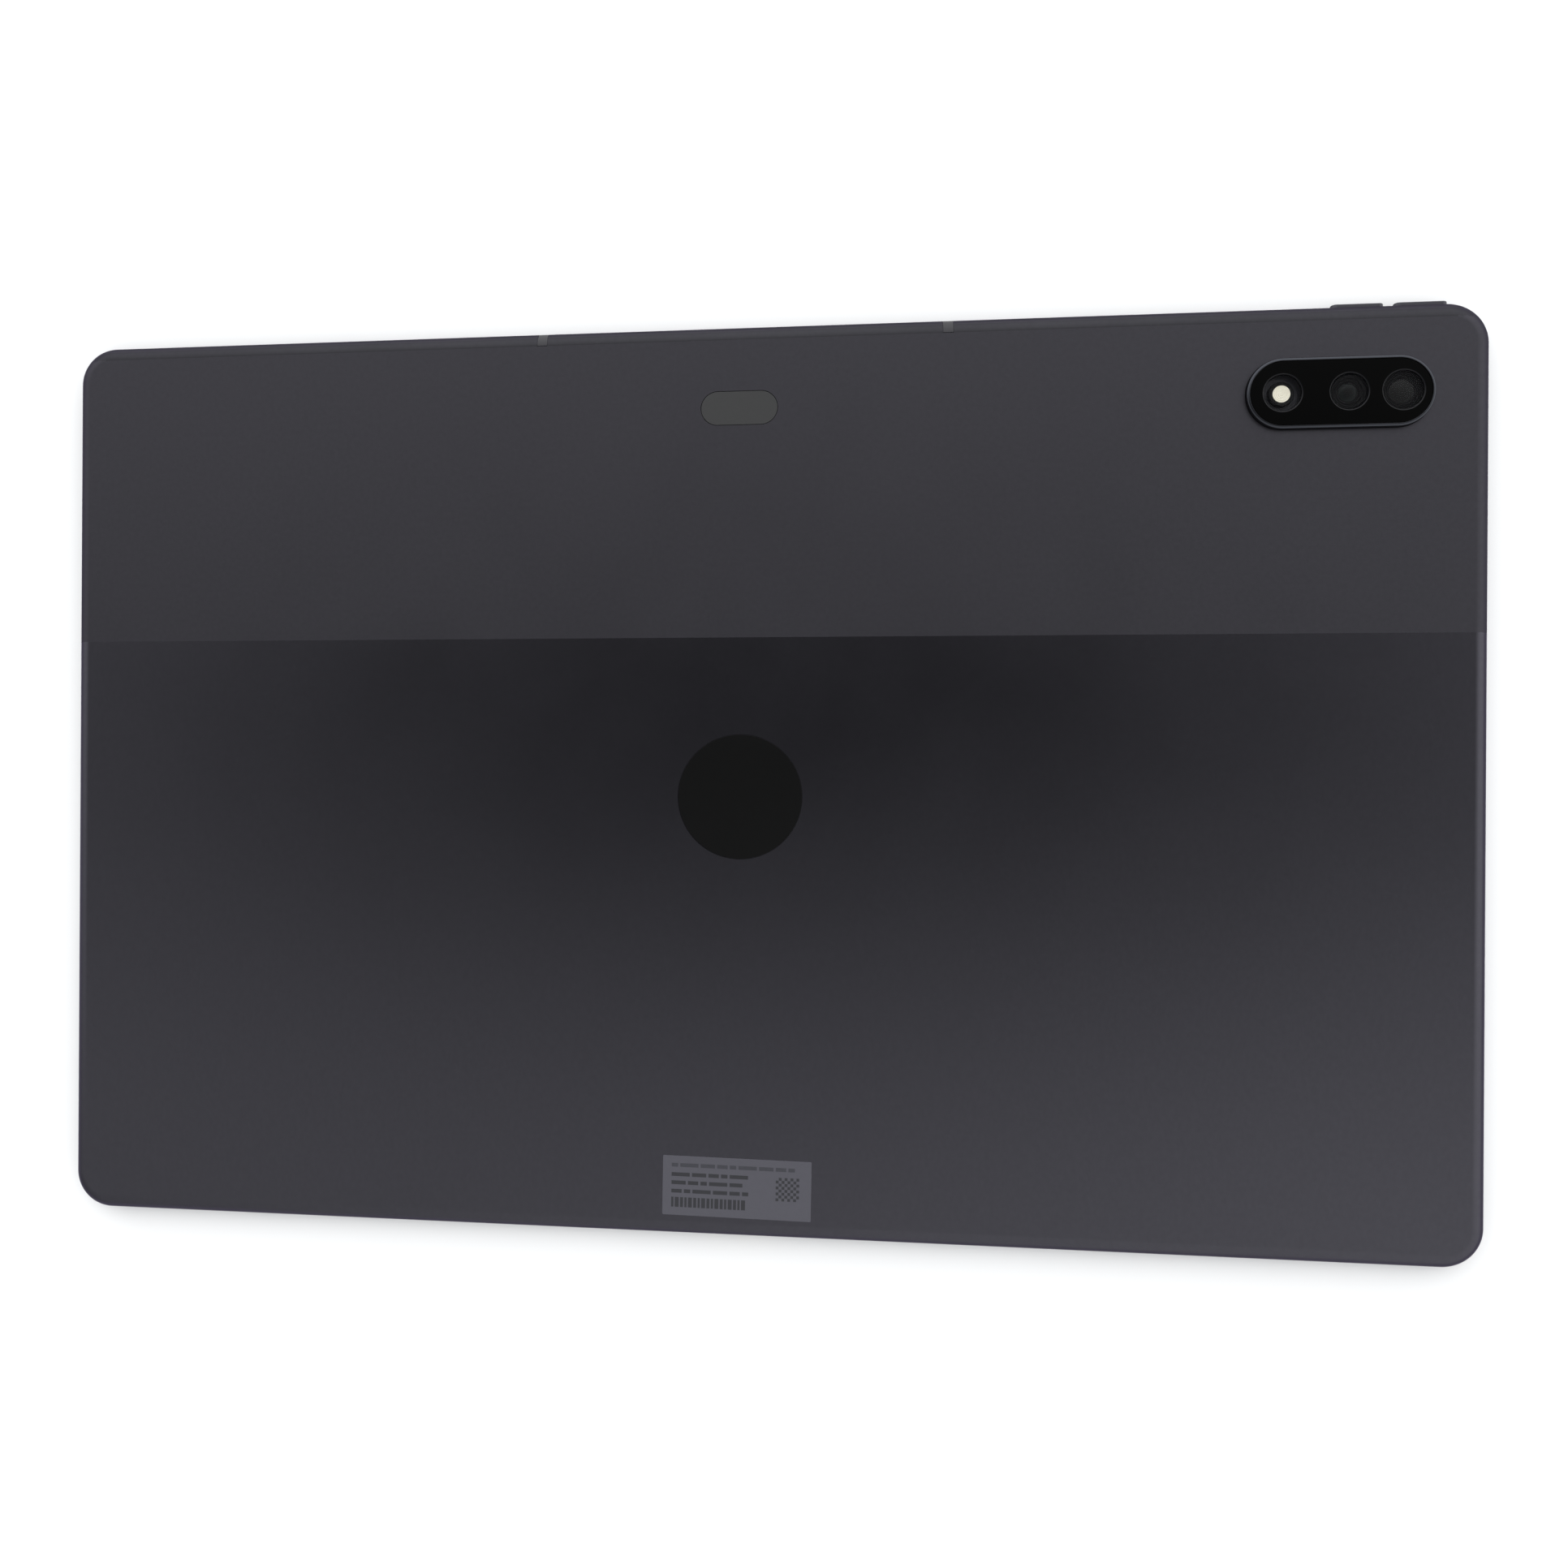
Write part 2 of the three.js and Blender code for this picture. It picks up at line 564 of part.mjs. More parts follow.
function antennaStrip(side) {
  const space = antennaSpace(side * ANTENNA.x, 0, ANTENNA.depth - FIT_GAP / 2);
  const pocket = prism(new THREE.Shape(bodyOutline(GLASS.inset - FIT_GAP)), -OUTSIDE, LEDGE_Z);
  const pastEndY = SIDE_Y - EDGE_RADIUS + FIT_GAP - OUTSIDE / 2;
  const top = THICKNESS + OUTSIDE;
  const pastEnd = blockAt(side * ANTENNA.x, pastEndY, 2 * ANTENNA.width, OUTSIDE, 0, top);
  return cut(space.intersect(outerForm(0)), pocket, pastEnd);
}

// ---------------------------------------------------------------- keys and their switches

// A key whose cap faces +Y, centred on X = 0. wallY is the inner face of the wall that it stands in.
function key(length, flangeExtra, outerY, wallY, bevel) {
  const capInner = wallY + KEY.capInset;
  const geometry = new THREE.ExtrudeGeometry(stadium(length, KEY.height), {
    depth: outerY - capInner - 2 * bevel,
    bevelThickness: bevel,
    bevelSize: bevel,
    bevelOffset: -bevel,
    bevelSegments: 1,
  });
  geometry.rotateX(Math.PI / 2);
  geometry.translate(0, outerY - bevel, KEY.z);
  const flangeOuter = wallY - KEY_FLANGE.gap;
  const flangeInner = flangeOuter - KEY_FLANGE.thickness;
  const flangeHalf = (length + flangeExtra) / 2;
  const neckHalf = (length - KEY.height) / 2;
  const nubHalf = KEY_NUB.length / 2;
  const nubInner = flangeInner - KEY_NUB.reach;
  return join(
    solidOf(geometry),
    block(-neckHalf, neckHalf, flangeInner, capInner + SIDE_WALL / 2, KEY_FLANGE.low, KEY.neckHigh),
    block(-flangeHalf, flangeHalf, flangeInner, flangeOuter, KEY_FLANGE.low, KEY_FLANGE.high),
    block(-nubHalf, nubHalf, nubInner, flangeOuter, KEY_NUB.low, KEY_NUB.high),
  );
}

function volumeKey() {
  const outer = SIDE_Y + VOLUME_KEY.proud;
  return key(VOLUME_KEY.length, VOLUME_KEY.flangeExtra, outer, INNER_Y, VOLUME_KEY.bevel);
}

function powerKey() {
  const outer = SIDE_X - POWER_KEY.recess;
  return key(POWER_KEY.length, POWER_KEY.flangeExtra, outer, INNER_X, POWER_KEY.bevel);
}

// A stiff switch board with a dome behind each key. The domes face +Y.
function switchBoard(wallY, domeXs) {
  const domeTop = wallY - KEY_FLANGE.gap - KEY_FLANGE.thickness - KEY_NUB.reach - SWITCH.gap;
  const face = domeTop - SWITCH.domeHeight;
  const { thickness, margin, low, high } = SWITCH_BOARD;
  const back = face - thickness;
  const xLow = Math.min(...domeXs) - margin;
  const xHigh = Math.max(...domeXs) + margin;
  const board = block(xLow, xHigh, back, face, low, high);
  const dome = circle(SWITCH.domeDiameter, 12);
  return join(board, ...domeXs.map((x) => prismAlongY(dome, back, domeTop, x, SWITCH.domeZ)));
}

// ---------------------------------------------------------------- USB-C socket

function usbShell() {
  const { y, z, mouthLength, mouthHeight, wall, depth } = USB;
  const front = -SIDE_X + USB_SKIN + FIT_GAP;
  const back = front + depth;
  const outline = stadium(mouthLength + 2 * wall, mouthHeight + 2 * wall);
  const tube = prismAlongX(outline, front, back, y, z);
  return tube.subtract(prismAlongX(stadium(mouthLength, mouthHeight), front - 1, back + 1, y, z));
}

function usbTongue() {
  const front = -SIDE_X + USB_SKIN + FIT_GAP;
  const back = front + USB.depth;
  const { width, height, setBack, base } = USB_TONGUE;
  const fit = (size) => size - 2 * FIT_GAP;
  const plug = stadium(fit(USB.mouthLength), fit(USB.mouthHeight));
  const blade = prismAlongX(roundedRect(width, height, 0.3, 2), front + setBack, back, USB.y, USB.z);
  return blade.add(prismAlongX(plug, back - base, back + base / 2, USB.y, USB.z));
}

// ---------------------------------------------------------------- card tray and its ejector

function cardTray() {
  const { y, z, width, height, innerX } = TRAY;
  const [low, high] = [z - height / 2, z + height / 2];
  const doorShape = stadium(TRAY_DOOR.length, TRAY_DOOR.height);
  const doorBack = -SIDE_X + TRAY_DOOR.thickness;
  const door = prismAlongX(doorShape, -SIDE_X - OUTSIDE, doorBack, TRAY_DOOR.y, z);
  const frame = block(doorBack - FIT_GAP, innerX, y - width / 2, y + width / 2, low, high);
  const cardFrom = doorBack + CARD.fromDoor;
  const cardTo = cardFrom + CARD.length;
  const { lip } = CARD;
  const half = CARD.width / 2;
  return cut(
    door.intersect(outerForm(TRAY_DOOR.surfaceGap)).add(frame),
    block(cardFrom, cardTo, y - half, y + half, high - CARD.depth, high + 1),
    block(cardFrom + lip, cardTo - lip, y - half + lip, y + half - lip, low - 1, high),
    prismAlongX(circle(PIN_HOLE, 12), -SIDE_X - 1, doorBack + 1, ROD.y, z),
  );
}

function traySeal() {
  const from = -SIDE_X + TRAY_DOOR.thickness + FIT_GAP;
  const to = from + SEAL.thickness;
  const bore = rectangle(TRAY.width + 2 * SEAL.bore, TRAY.height + 2 * SEAL.bore);
  const ring = prismAlongX(roundedRect(SEAL.width, SEAL.height, SEAL.radius, 3), from, to, TRAY.y, TRAY.z);
  return ring.subtract(prismAlongX(bore, from - 1, to + 1, TRAY.y, TRAY.z));
}

function cardSocket() {
  const { xLow, xHigh, wall, clearance, play } = SOCKET;
  const [low, high] = [TRAY.z - TRAY.height / 2 - play, TRAY.z + TRAY.height / 2 + play];
  const trayLow = TRAY.y - TRAY.width / 2 - clearance;
  const trayHigh = TRAY.y + TRAY.width / 2 + clearance;
  const rodLow = ROD.y - ROD.channel / 2;
  const rodHigh = ROD.y + ROD.channel / 2;
  const leverRoom = TRAY.innerX - LEVER_PIVOT.clearOfTray;
  const ends = [xLow - 1, xHigh + 1];
  const cage = block(xLow, xHigh, trayLow - wall, rodHigh + wall, low - wall, high + wall);
  const post = prism(circle(LEVER_PIVOT.post, 10), low - wall / 2, high + wall / 2, LEVER.x, LEVER.y);
  return cut(
    cage,
    block(...ends, trayLow, trayHigh, low, high),
    block(...ends, rodLow, rodHigh, low, high),
    block(leverRoom, xHigh + 1, trayLow, rodHigh, low, high),
  ).add(post);
}

function ejectorRod() {
  return prismAlongX(circle(ROD.diameter, 10), ROD.xLow, ROD.xHigh, ROD.y, TRAY.z);
}

// A straight lever on the socket's post. One end stands behind the rod, the other behind the tray.
function ejectorLever() {
  const { up, down, width, low, high } = LEVER;
  const bar = stadium(up + down + width, width, SMALL_STEPS);
  const boss = prism(circle(LEVER_PIVOT.boss, 12), low, high);
  const arm = prism(bar, low, high, (up - down) / 2, 0);
  const bore = prism(circle(LEVER_PIVOT.bore, 12), low - 1, high + 1);
  return arm.add(boss).subtract(bore);
}

// ---------------------------------------------------------------- speakers and microphones

function speaker(sideX, sideY) {
  const { length, width, wallGap, low, high, radius, cone } = SPEAKER;
  const x = sideX * (INNER_X - wallGap - length / 2);
  const y = sideY * SPEAKER.y;
  const box = prism(roundedRect(length, width, radius, 3), low, high, x, y);
  const coneShape = roundedRect(cone.length, cone.width, cone.radius, 3);
  return box.subtract(prism(coneShape, low - 1, low + cone.depth, x - sideX * cone.offset, y));
}

function speakerMesh(sideX, sideY) {
  const { length, height, thickness, wallGap, z } = SPEAKER_MESH;
  const inner = sideX * (INNER_X - wallGap - thickness / 2);
  const [low, high] = [inner - thickness / 2, inner + thickness / 2];
  return prismAlongX(stadium(length, height, SMALL_STEPS), low, high, sideY * GRILLE.y, z);
}

function microphone(side) {
  const { x, length, depth, low, high } = MICROPHONE;
  const yHigh = INNER_Y - FIT_GAP;
  return blockAt(side * x, yHigh - depth / 2, length, depth, low, high);
}

// ---------------------------------------------------------------- dock contacts

function contactX(i) {
  return (i - (CONTACT.count - 1) / 2) * CONTACT.pitch;
}

function dockBlock() {
  const yOuter = -SIDE_Y + DOCK.recess;
  const wallY = -INNER_Y + FIT_GAP;
  const yInner = wallY + DOCK.flangeThickness;
  const body = prismAlongY(stadium(DOCK.length, DOCK.height), yOuter, yInner, 0, DOCK.z);
  const lipLow = MIDFRAME.high + FIT_GAP;
  const halfLip = DOCK.length / 2 + DOCK.flange;
  const lip = block(-halfLip, halfLip, wallY, yInner, lipLow, DOCK.lipHigh);
  const clearOfPlate = block(-SIDE_X, SIDE_X, wallY, 0, 0, lipLow);
  const bore = circle(CONTACT.diameter + FIT_GAP, 12);
  const bores = [...Array(CONTACT.count).keys()].map((i) =>
    prismAlongY(bore, yOuter - 1, yInner + 1, contactX(i), DOCK.z),
  );
  return cut(body.add(lip), clearOfPlate, ...bores);
}

function dockContact(i) {
  const yOuter = -SIDE_Y + DOCK.recess + CONTACT.recess;
  return prismAlongY(circle(CONTACT.diameter, 12), yOuter, -INNER_Y - FIT_GAP, contactX(i), DOCK.z);
}

function dockMagnet(side) {
  const { x, y, length, width, low, high } = MAGNET;
  return blockAt(side * x, y, length, width, low, high);
}

// ---------------------------------------------------------------- boards, battery and cables

// A board with the parts that stand on it, each {x, y, length, width, low, high}.
function populated(plate, components) {
  return join(plate, ...components.map((c) => blockAt(c.x, c.y, c.length, c.width, c.low, c.high)));
}

function mainBoard() {
  const { xLow, xHigh, yLow, yHigh, low, high } = MAIN_BOARD;
  const plate = block(xLow, xHigh, yLow, yHigh, low, high);
  const hole = circle(BOSS.bore, 8);
  const screwHoles = screwPlaces().map(({ x, y }) => prism(hole, low - 1, high + 1, x, y));
  const connector = { y: 45, length: 9, width: 2.6, low: 2, high: 2.6 };
  const memory = { y: 62, length: 12, width: 14, low: 1.9, high: 2.6 };
  return populated(cut(plate, ...screwHoles), [
    ...[-48, -32, -16].map((x) => ({ x, ...connector })),
    ...[40, 56].map((x) => ({ x, ...memory })),
  ]);
}

function ioBoard() {
  const { xLow, xHigh, yLow, yHigh, low, high } = IO_BOARD;
  const plate = block(xLow, xHigh, yLow, yHigh, low, high);
  const halfNotch = USB.mouthLength / 2 + USB.wall + MIDFRAME.gap;
  const notchEnd = usbBackX() + MIDFRAME.gap;
  const notch = block(xLow - 1, notchEnd, USB.y - halfNotch, USB.y + halfNotch, low - 1, high + 1);
  const chips = [
    { x: -124, y: -5, length: 6, width: 6, low: 2.6, high: 3.4 },
    { x: -116, y: 3, length: 4, width: 8, low: 2.6, high: 3.4 },
  ];
  return populated(plate.subtract(notch), chips);
}

// A shield can, open towards the board.
function shieldCan({ x, y, length, width }) {
  const { low, high, wall } = SHIELD;
  const inside = blockAt(x, y, length - 2 * wall, width - 2 * wall, low - 1, high - wall);
  return blockAt(x, y, length, width, low, high).subtract(inside);
}

function graphiteSheet() {
  const { low, high, margin } = GRAPHITE;
  const { xLow, xHigh, yLow, yHigh } = MAIN_BOARD;
  const sheet = block(xLow + margin, xHigh - margin, yLow + margin, yHigh - margin, low, high);
  const penRoom = stadium(PEN_WINDOW.length + 4 * margin, PEN_WINDOW.width + 4 * margin);
  const bossRoom = circle(BOSS.diameter + margin, 12);
  return cut(
    sheet,
    prism(penRoom, low - 1, high + 1, PEN_WINDOW.x, PEN_WINDOW.y),
    ...screwPlaces().map(({ x, y }) => prism(bossRoom, low - 1, high + 1, x, y)),
  );
}

function boardScrew({ x, y }) {
  const headHigh = MAIN_BOARD.low - GLUE_GAP;
  const headLow = headHigh - SCREW.head;
  const head = prism(circle(SCREW.headDiameter, 12), headLow, headHigh, x, y);
  return head.add(prism(circle(SCREW.diameter, 8), headLow + SCREW.head / 2, SCREW.tip, x, y));
}

function batteryCell() {
  const { length, width, low, high, radius, bevel } = BATTERY;
  const outline = (inset) => roundedRectPoints(length - 2 * inset, width - 2 * inset, radius, 3);
  return loft([
    { points: outline(bevel), z: low },
    { points: outline(0), z: low + bevel },
    { points: outline(0), z: high - bevel },
    { points: outline(bevel), z: high },
  ]);
}

function batteryBoard() {
  const { length, width, gap, low, high } = BATTERY_BOARD;
  const y = BATTERY.y + BATTERY.width / 2 + gap + width / 2;
  const chip = { y, length: 5, width: 3, low: 2.6, high: 3.7 };
  return populated(blockAt(0, y, length, width, low, high), [-24, -8, 8, 24].map((x) => ({ x, ...chip })));
}

// From the main board along the battery's side to the side board, as one flat L.
function ioFlexCable() {
  const [low, high] = [MAIN_BOARD.high + GLUE_GAP, IO_BOARD.low - GLUE_GAP];
  const { left, right, bottom, top, width, runWidth } = IO_FLEX;
  const run = block(left, right, top - runWidth, top, low, high);
  return run.add(block(left, left + width, bottom, top, low, high));
}

// Folded up from the back of the screen panel, through the midframe, to the main board.
function displayFlexCable() {
  const { fold, film, x, length, lowRun, highRun } = DISPLAY_FLEX;
  const [bottom, top] = [PANEL.high + GLUE_GAP, MAIN_BOARD.low - GLUE_GAP];
  const [xLow, xHigh] = [x - length / 2, x + length / 2];
  return join(
    block(xLow, xHigh, fold - lowRun, fold + film, bottom, bottom + film),
    block(xLow, xHigh, fold, fold + film, bottom, top),
    block(xLow, xHigh, fold, fold + highRun, top - film, top),
  );
}

// ---------------------------------------------------------------- putting it together

addPart("rear_housing", rearHousing(), "housingMetal");
addPart("antenna_strip_left", antennaStrip(-1), "antennaPlastic");
addPart("antenna_strip_right", antennaStrip(1), "antennaPlastic");

const panelShape = roundedRect(PANEL.length, PANEL.width, PANEL.radius, 3);
addPart("cover_glass", coverGlass(), "blackGlass");
addPart("display_adhesive", displayAdhesive(), "rubber");
addPart("display_panel", prism(panelShape, PANEL.low, PANEL.high), "blackPlastic");
addPart("midframe_plate", midframePlate(), "steel");
addPart("front_camera_module", frontSensor(FRONT_CAMERA), "blackPlastic");
addPart("depth_sensor_module", frontSensor(DEPTH_SENSOR), "blackPlastic");

addPart("camera_ring", cameraRing(), "chamferMetal", { x: ISLAND.x, y: ISLAND.y });
addPart("camera_cover_glass", cameraCoverGlass(), "blackGlass");
addPart("main_camera_module", cameraModule(MAIN_CAMERA), "blackPlastic");
addPart("second_camera_module", cameraModule(SECOND_CAMERA), "blackPlastic");
addPart("flash_led", cameraModule(FLASH), "lampLens");

addPart("pen_charging_window", penWindow(), "inlayPlastic");
addPart("pen_charging_coil", penCoil(), "copper");
addPart("back_emblem_disc", emblemDisc(), "polishedInlay");
addPart("rating_label", ratingLabel(), "labelFilm", { x: LABEL.x, y: LABEL.y, turn: LABEL.tilt });

const ON_RIGHT_EDGE = { y: POWER_KEY.y, turn: -90 };
const volumeKeyXs = [volumeKeyX(-1), volumeKeyX(1)];
addPart("power_key", powerKey(), "housingMetal", ON_RIGHT_EDGE);
addPart("power_key_board", switchBoard(INNER_X, [0]), "flexFilm", ON_RIGHT_EDGE);
addPart("volume_down_key", volumeKey(), "housingMetal", { x: volumeKeyXs[0] });
addPart("volume_up_key", volumeKey(), "housingMetal", { x: volumeKeyXs[1] });
addPart("volume_key_board", switchBoard(INNER_Y, volumeKeyXs), "flexFilm");

addPart("usb_socket_shell", usbShell(), "steel");
addPart("usb_socket_tongue", usbTongue(), "blackPlastic");

addPart("card_tray", cardTray(), "housingMetal");
addPart("card_tray_seal", traySeal(), "rubber");
addPart("card_socket", cardSocket(), "steel");
addPart("ejector_rod", ejectorRod(), "steel");
addPart("ejector_lever", ejectorLever(), "steel", { x: LEVER.x, y: LEVER.y, turn: 90 + LEVER.lean });

for (const [wordX, sideX] of Object.entries({ left: -1, right: 1 })) {
  for (const [wordY, sideY] of Object.entries({ lower: -1, upper: 1 })) {
    addPart(`speaker_${wordY}_${wordX}`, speaker(sideX, sideY), "blackPlastic");
    addPart(`speaker_mesh_${wordY}_${wordX}`, speakerMesh(sideX, sideY), "steel");
  }
  addPart(`microphone_${wordX}`, microphone(sideX), "steel");
  addPart(`dock_magnet_${wordX}`, dockMagnet(sideX), "steel");
  const cellX = (sideX * (BATTERY.length + BATTERY.gap)) / 2;
  addPart(`battery_cell_${wordX}`, batteryCell(), "batteryPouch", { x: cellX, y: BATTERY.y });
}

addPart("dock_contact_block", dockBlock(), "blackPlastic");
for (let i = 0; i < CONTACT.count; i += 1) {
  addPart(`dock_contact_${i + 1}`, dockContact(i), "gold");
}

addPart("main_board", mainBoard(), "board");
addPart("io_board", ioBoard(), "board");
addPart("processor_shield", shieldCan(PROCESSOR_SHIELD), "steel");
addPart("power_shield", shieldCan(POWER_SHIELD), "steel");
addPart("graphite_sheet", graphiteSheet(), "graphite");
addPart("battery_protection_board", batteryBoard(), "board");
addPart("io_flex_cable", ioFlexCable(), "flexFilm");
addPart("display_flex_cable", displayFlexCable(), "flexFilm");
screwPlaces().forEach((place, i) => addPart(`board_screw_${i + 1}`, boardScrew(place), "steel"));

export default tablet;
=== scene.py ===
import math

import bmesh
import bpy
from mathutils import Matrix, Vector


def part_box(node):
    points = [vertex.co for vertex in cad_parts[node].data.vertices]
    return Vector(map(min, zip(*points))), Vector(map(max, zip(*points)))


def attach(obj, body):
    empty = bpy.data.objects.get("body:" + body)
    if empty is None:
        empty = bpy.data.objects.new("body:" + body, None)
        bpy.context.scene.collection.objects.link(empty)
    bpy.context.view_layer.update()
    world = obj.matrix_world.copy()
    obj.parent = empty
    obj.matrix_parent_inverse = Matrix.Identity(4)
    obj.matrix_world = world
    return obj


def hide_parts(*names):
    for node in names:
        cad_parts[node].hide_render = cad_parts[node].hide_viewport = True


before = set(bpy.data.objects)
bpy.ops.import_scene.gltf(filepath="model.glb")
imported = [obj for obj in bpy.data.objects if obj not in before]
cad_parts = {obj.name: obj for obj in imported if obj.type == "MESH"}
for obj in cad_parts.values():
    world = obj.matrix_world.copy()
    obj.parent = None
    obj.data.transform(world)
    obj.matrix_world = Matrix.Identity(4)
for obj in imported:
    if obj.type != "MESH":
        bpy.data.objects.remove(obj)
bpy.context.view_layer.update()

scene = bpy.context.scene

# The shapes are drawn in millimetres and scaled to metres when a piece is made.
# +X runs along the long side, +Y points to the edge with the volume keys, +Z out of the back.
MM = 0.001

# ---------------- dimensions, in millimetres

CORNER_RADIUS = 8
EDGE_RADIUS = 3.3
RIM_BEVEL = 0.4
SIDE_WALL = 3
BACK_WALL = 0.8
FIT_GAP = 0.1
KEY_GAP = 0.12
PAST = 2  # how far a cutting tool reaches past the face it opens
SHORT_PAST = 1  # the same, where something else is close by
SHADE_BAND_LIFT = 0.84  # how level the band of painted shade beside the upper edge still is
LEVEL = 0.9999  # the lift of a normal that counts as straight up
SEAM_Y = 29  # where the upper finish of the back meets the lower one
SLIVER = 0.001  # edges shorter than this are dissolved

CORNER_STEPS = 24  # segments in each corner of the tablet's outline
EDGE_STEPS = 16
RING_STEPS = 48
INLAY_STEPS = 32
ROUND_STEPS = 64
RING_HOLE_STEPS = 40
EMBLEM_STEPS = 128
EMBLEM_HOLE_STEPS = 96
BORE_STEPS = 24
PIN_STEPS = 32

GLASS_INSET = 1
GLASS_LEDGE_Z = 0.75
GLASS_FACE = 0.01  # the flat of the screen; only the two sensor windows come down to zero
GLASS_RIM = 0.2
PANEL_MARGIN = 6.6  # from the tablet's outline to the lit area of the screen
PANEL_CORNER = 3
FRONT_CAMERA_WINDOW = (3.2, 2)  # across the ring and across the pupil
DEPTH_SENSOR_WINDOW = (2.4, 1.4)

RING_WALL = 0.55
RING_CHAMFER = 0.3
RING_ROUNDING = 0.48
RING_LEDGE = 0.4
RING_LEDGE_Z = 5.9
RING_FLOOR_Z = 5
RING_FLANGE = 1.3
RING_FLANGE_TOP = 4.75
RING_INNER_EDGE = 0.04
INLAY_GAP = 0.02
BARREL_GAP = 0.2
# Diameters of each camera's lens, of the window over it and of its barrel.
CAMERAS = {
    "main_camera_module": (4.5, 7.4, 8.4),
    "second_camera_module": (3.4, 6.9, 6.6),
    "flash_led": (3.3, 7, 4.6),
}
WINDOW_ROUNDING = 0.25
WIDEST_WINDOW = 7.4
WINDOW_EDGE_LIFT = (0.05, 0.999)  # how level the rounded edge of a window is, from its foot to its top
SECOND_IRIS = 1.7
LENS_DROP = 0.5  # from the top of the barrel to the edge of the lens
LENS_DOME = 0.28
BARREL_CHAMFER = 0.1
BARREL_FOOT = 1  # how far above the camera's underside the barrel starts
# Each step of the baffle: how much wider than the lens, how far below the barrel's top, and its finish.
BAFFLE = [(1.9, 0, 0), (1.5, 0.25, 0), (0.8, 0.25, 0), (0.4, LENS_DROP, 2), (0, LENS_DROP, 2)]
FLASH_CUP_WALL = 0.5
FLASH_CUP_DEPTH = 0.2
FLASH_RIBS = 5
FLASH_RIB = [(0.1, 0.05), (0.55, 0.12)]  # how much narrower and how far down its crest and its foot are
PLATE_EDGE = 0.08

EMBLEM_DEPTH = 0.3
INLAY_EDGE = 0.06
WINDOW_FLANGE = 1
WINDOW_FLANGE_THICKNESS = 0.4
ANTENNA_WIDTH = 2
ANTENNA_DEPTH = 1.3
USB_MOUTH = (8.34, 2.56)
USB_WALL = 0.2
USB_SKIN = 1.2
USB_LIP = 0.06
USB_BLADE = (6.69, 0.7)
USB_BLADE_CORNER = 0.3
USB_BLADE_TIP = (0.12, 0.3)  # how much its tip narrows on each side, and over what length
USB_BLADE_ROOT = 0.2
USB_BASE_DEPTH = 1.5
USB_CONTACTS = 12
USB_CONTACT_PITCH = 0.5
USB_CONTACT = (0.24, 0.02)  # width and height
USB_CONTACT_ENDS = (0.5, 1.7)  # from the tongue's tip and from its back
TRAY_DOOR = (17.6, 1.9)
TRAY_DOOR_THICKNESS = 0.9
TRAY_DOOR_Y = 21.5
TRAY_DOOR_RECESS = 0.05
TRAY_SLOT = (14, 1.5)
TRAY_HEIGHT = 0.9
TRAY_WIDTH = 12.8
CARD = (15.2, 11.2)
CARD_CORNERS = (0.8, 0.6)  # radius of the pocket's corners and of the opening under it
CARD_DEPTH = 0.7
CARD_LIP = 0.9
CARD_FROM_DOOR = 2
PIN_HOLE = 1
ROD_BORE = 1.3
GRILLE_SLOT = (2.4, 1)
GRILLE_SLOTS = 6
GRILLE_PITCH = 3.4
GRILLE_Y = 44
SIDE_Z = 2.3  # height of the keys and the grilles
MICROPHONE_HOLE = 0.8
DOCK = (16, 2)
DOCK_CHAMFER = 0.1
DOCK_BODY_DEPTH = 0.5  # behind the inside of the wall
DOCK_LIP_Z = 1.75
DOCK_BORE = 1.6
DOCK_PIN_CROWN = 0.25

POWER_KEY_LENGTH = 16
VOLUME_KEY_LENGTH = 9.7
KEY_HEIGHT = 1.9
KEY_FLANGE_Z = (1.75, 3.7)
KEY_NUB = (0.7, -0.1, 0.9)  # half its length, its lowest and its highest point from the key's middle
KEY_NUB_REACH = 0.2
CAP_INSET = 0.05
FLANGE_GAP = 0.25
FLANGE_THICKNESS = 0.4
NECK_TOP = 3.1

LABEL_TILT = -0.6  # degrees
LABEL_SIZE = (30, 12)
LABEL_CORNER = 0.25
LABEL_EDGE = 0.02
INK = (0.001, 0.01)  # lowest and highest point above the film
PRINT_LEFT = -13.2
DASH_ROWS = [(4.15, 26), (2.25, 15.8), (0.6, 14.4), (-1.1, 15.6)]  # height on the label and length
DASH_HEIGHT = 0.75
DASH_GAP = 0.45
SHORTEST_DASH = 1.3
DASH_STEP = 0.8  # the dashes are this much, or two or three times this much, longer
LAST_DASH = 0.8  # a row ends where less than this is left
STRIP = (-3.35, 15.2, 2)  # height on the label, length and width
STRIP_BARS = (0.45, 0.8, 0.6)
STRIP_GAP = 0.28
SQUARE_CORNER = (7.9, -1.85)
SQUARE_CELLS = 8
SQUARE_CELL = 0.59
CELL_GAP = 0.02

# ---------------- outlines


def arc(x, y, radius, start, end, steps):
    """Points on an arc, both ends included. Angles in degrees."""
    points = []
    for i in range(steps + 1):
        angle = math.radians(start + (end - start) * i / steps)
        points.append((x + radius * math.cos(angle), y + radius * math.sin(angle)))
    return points


def rounded_rect(length, width, radius, steps=8):
    x, y = length / 2 - radius, width / 2 - radius
    return (
        arc(x, y, radius, 0, 90, steps)
        + arc(-x, y, radius, 90, 180, steps)
        + arc(-x, -y, radius, 180, 270, steps)
        + arc(x, -y, radius, 270, 360, steps)
    )


def stadium(length, width, steps=20):
    x = (length - width) / 2
    return arc(x, 0, width / 2, -90, 90, steps) + arc(-x, 0, width / 2, 90, 270, steps)


def circle(diameter, steps=48):
    return arc(0, 0, diameter / 2, 0, 360, steps)[:steps]


def grown(size, gap):
    return (size[0] + 2 * gap, size[1] + 2 * gap)


def quarter_turn(steps):
    """Angles from 0 to 90 degrees, in radians."""
    return [math.pi / 2 * i / steps for i in range(steps + 1)]


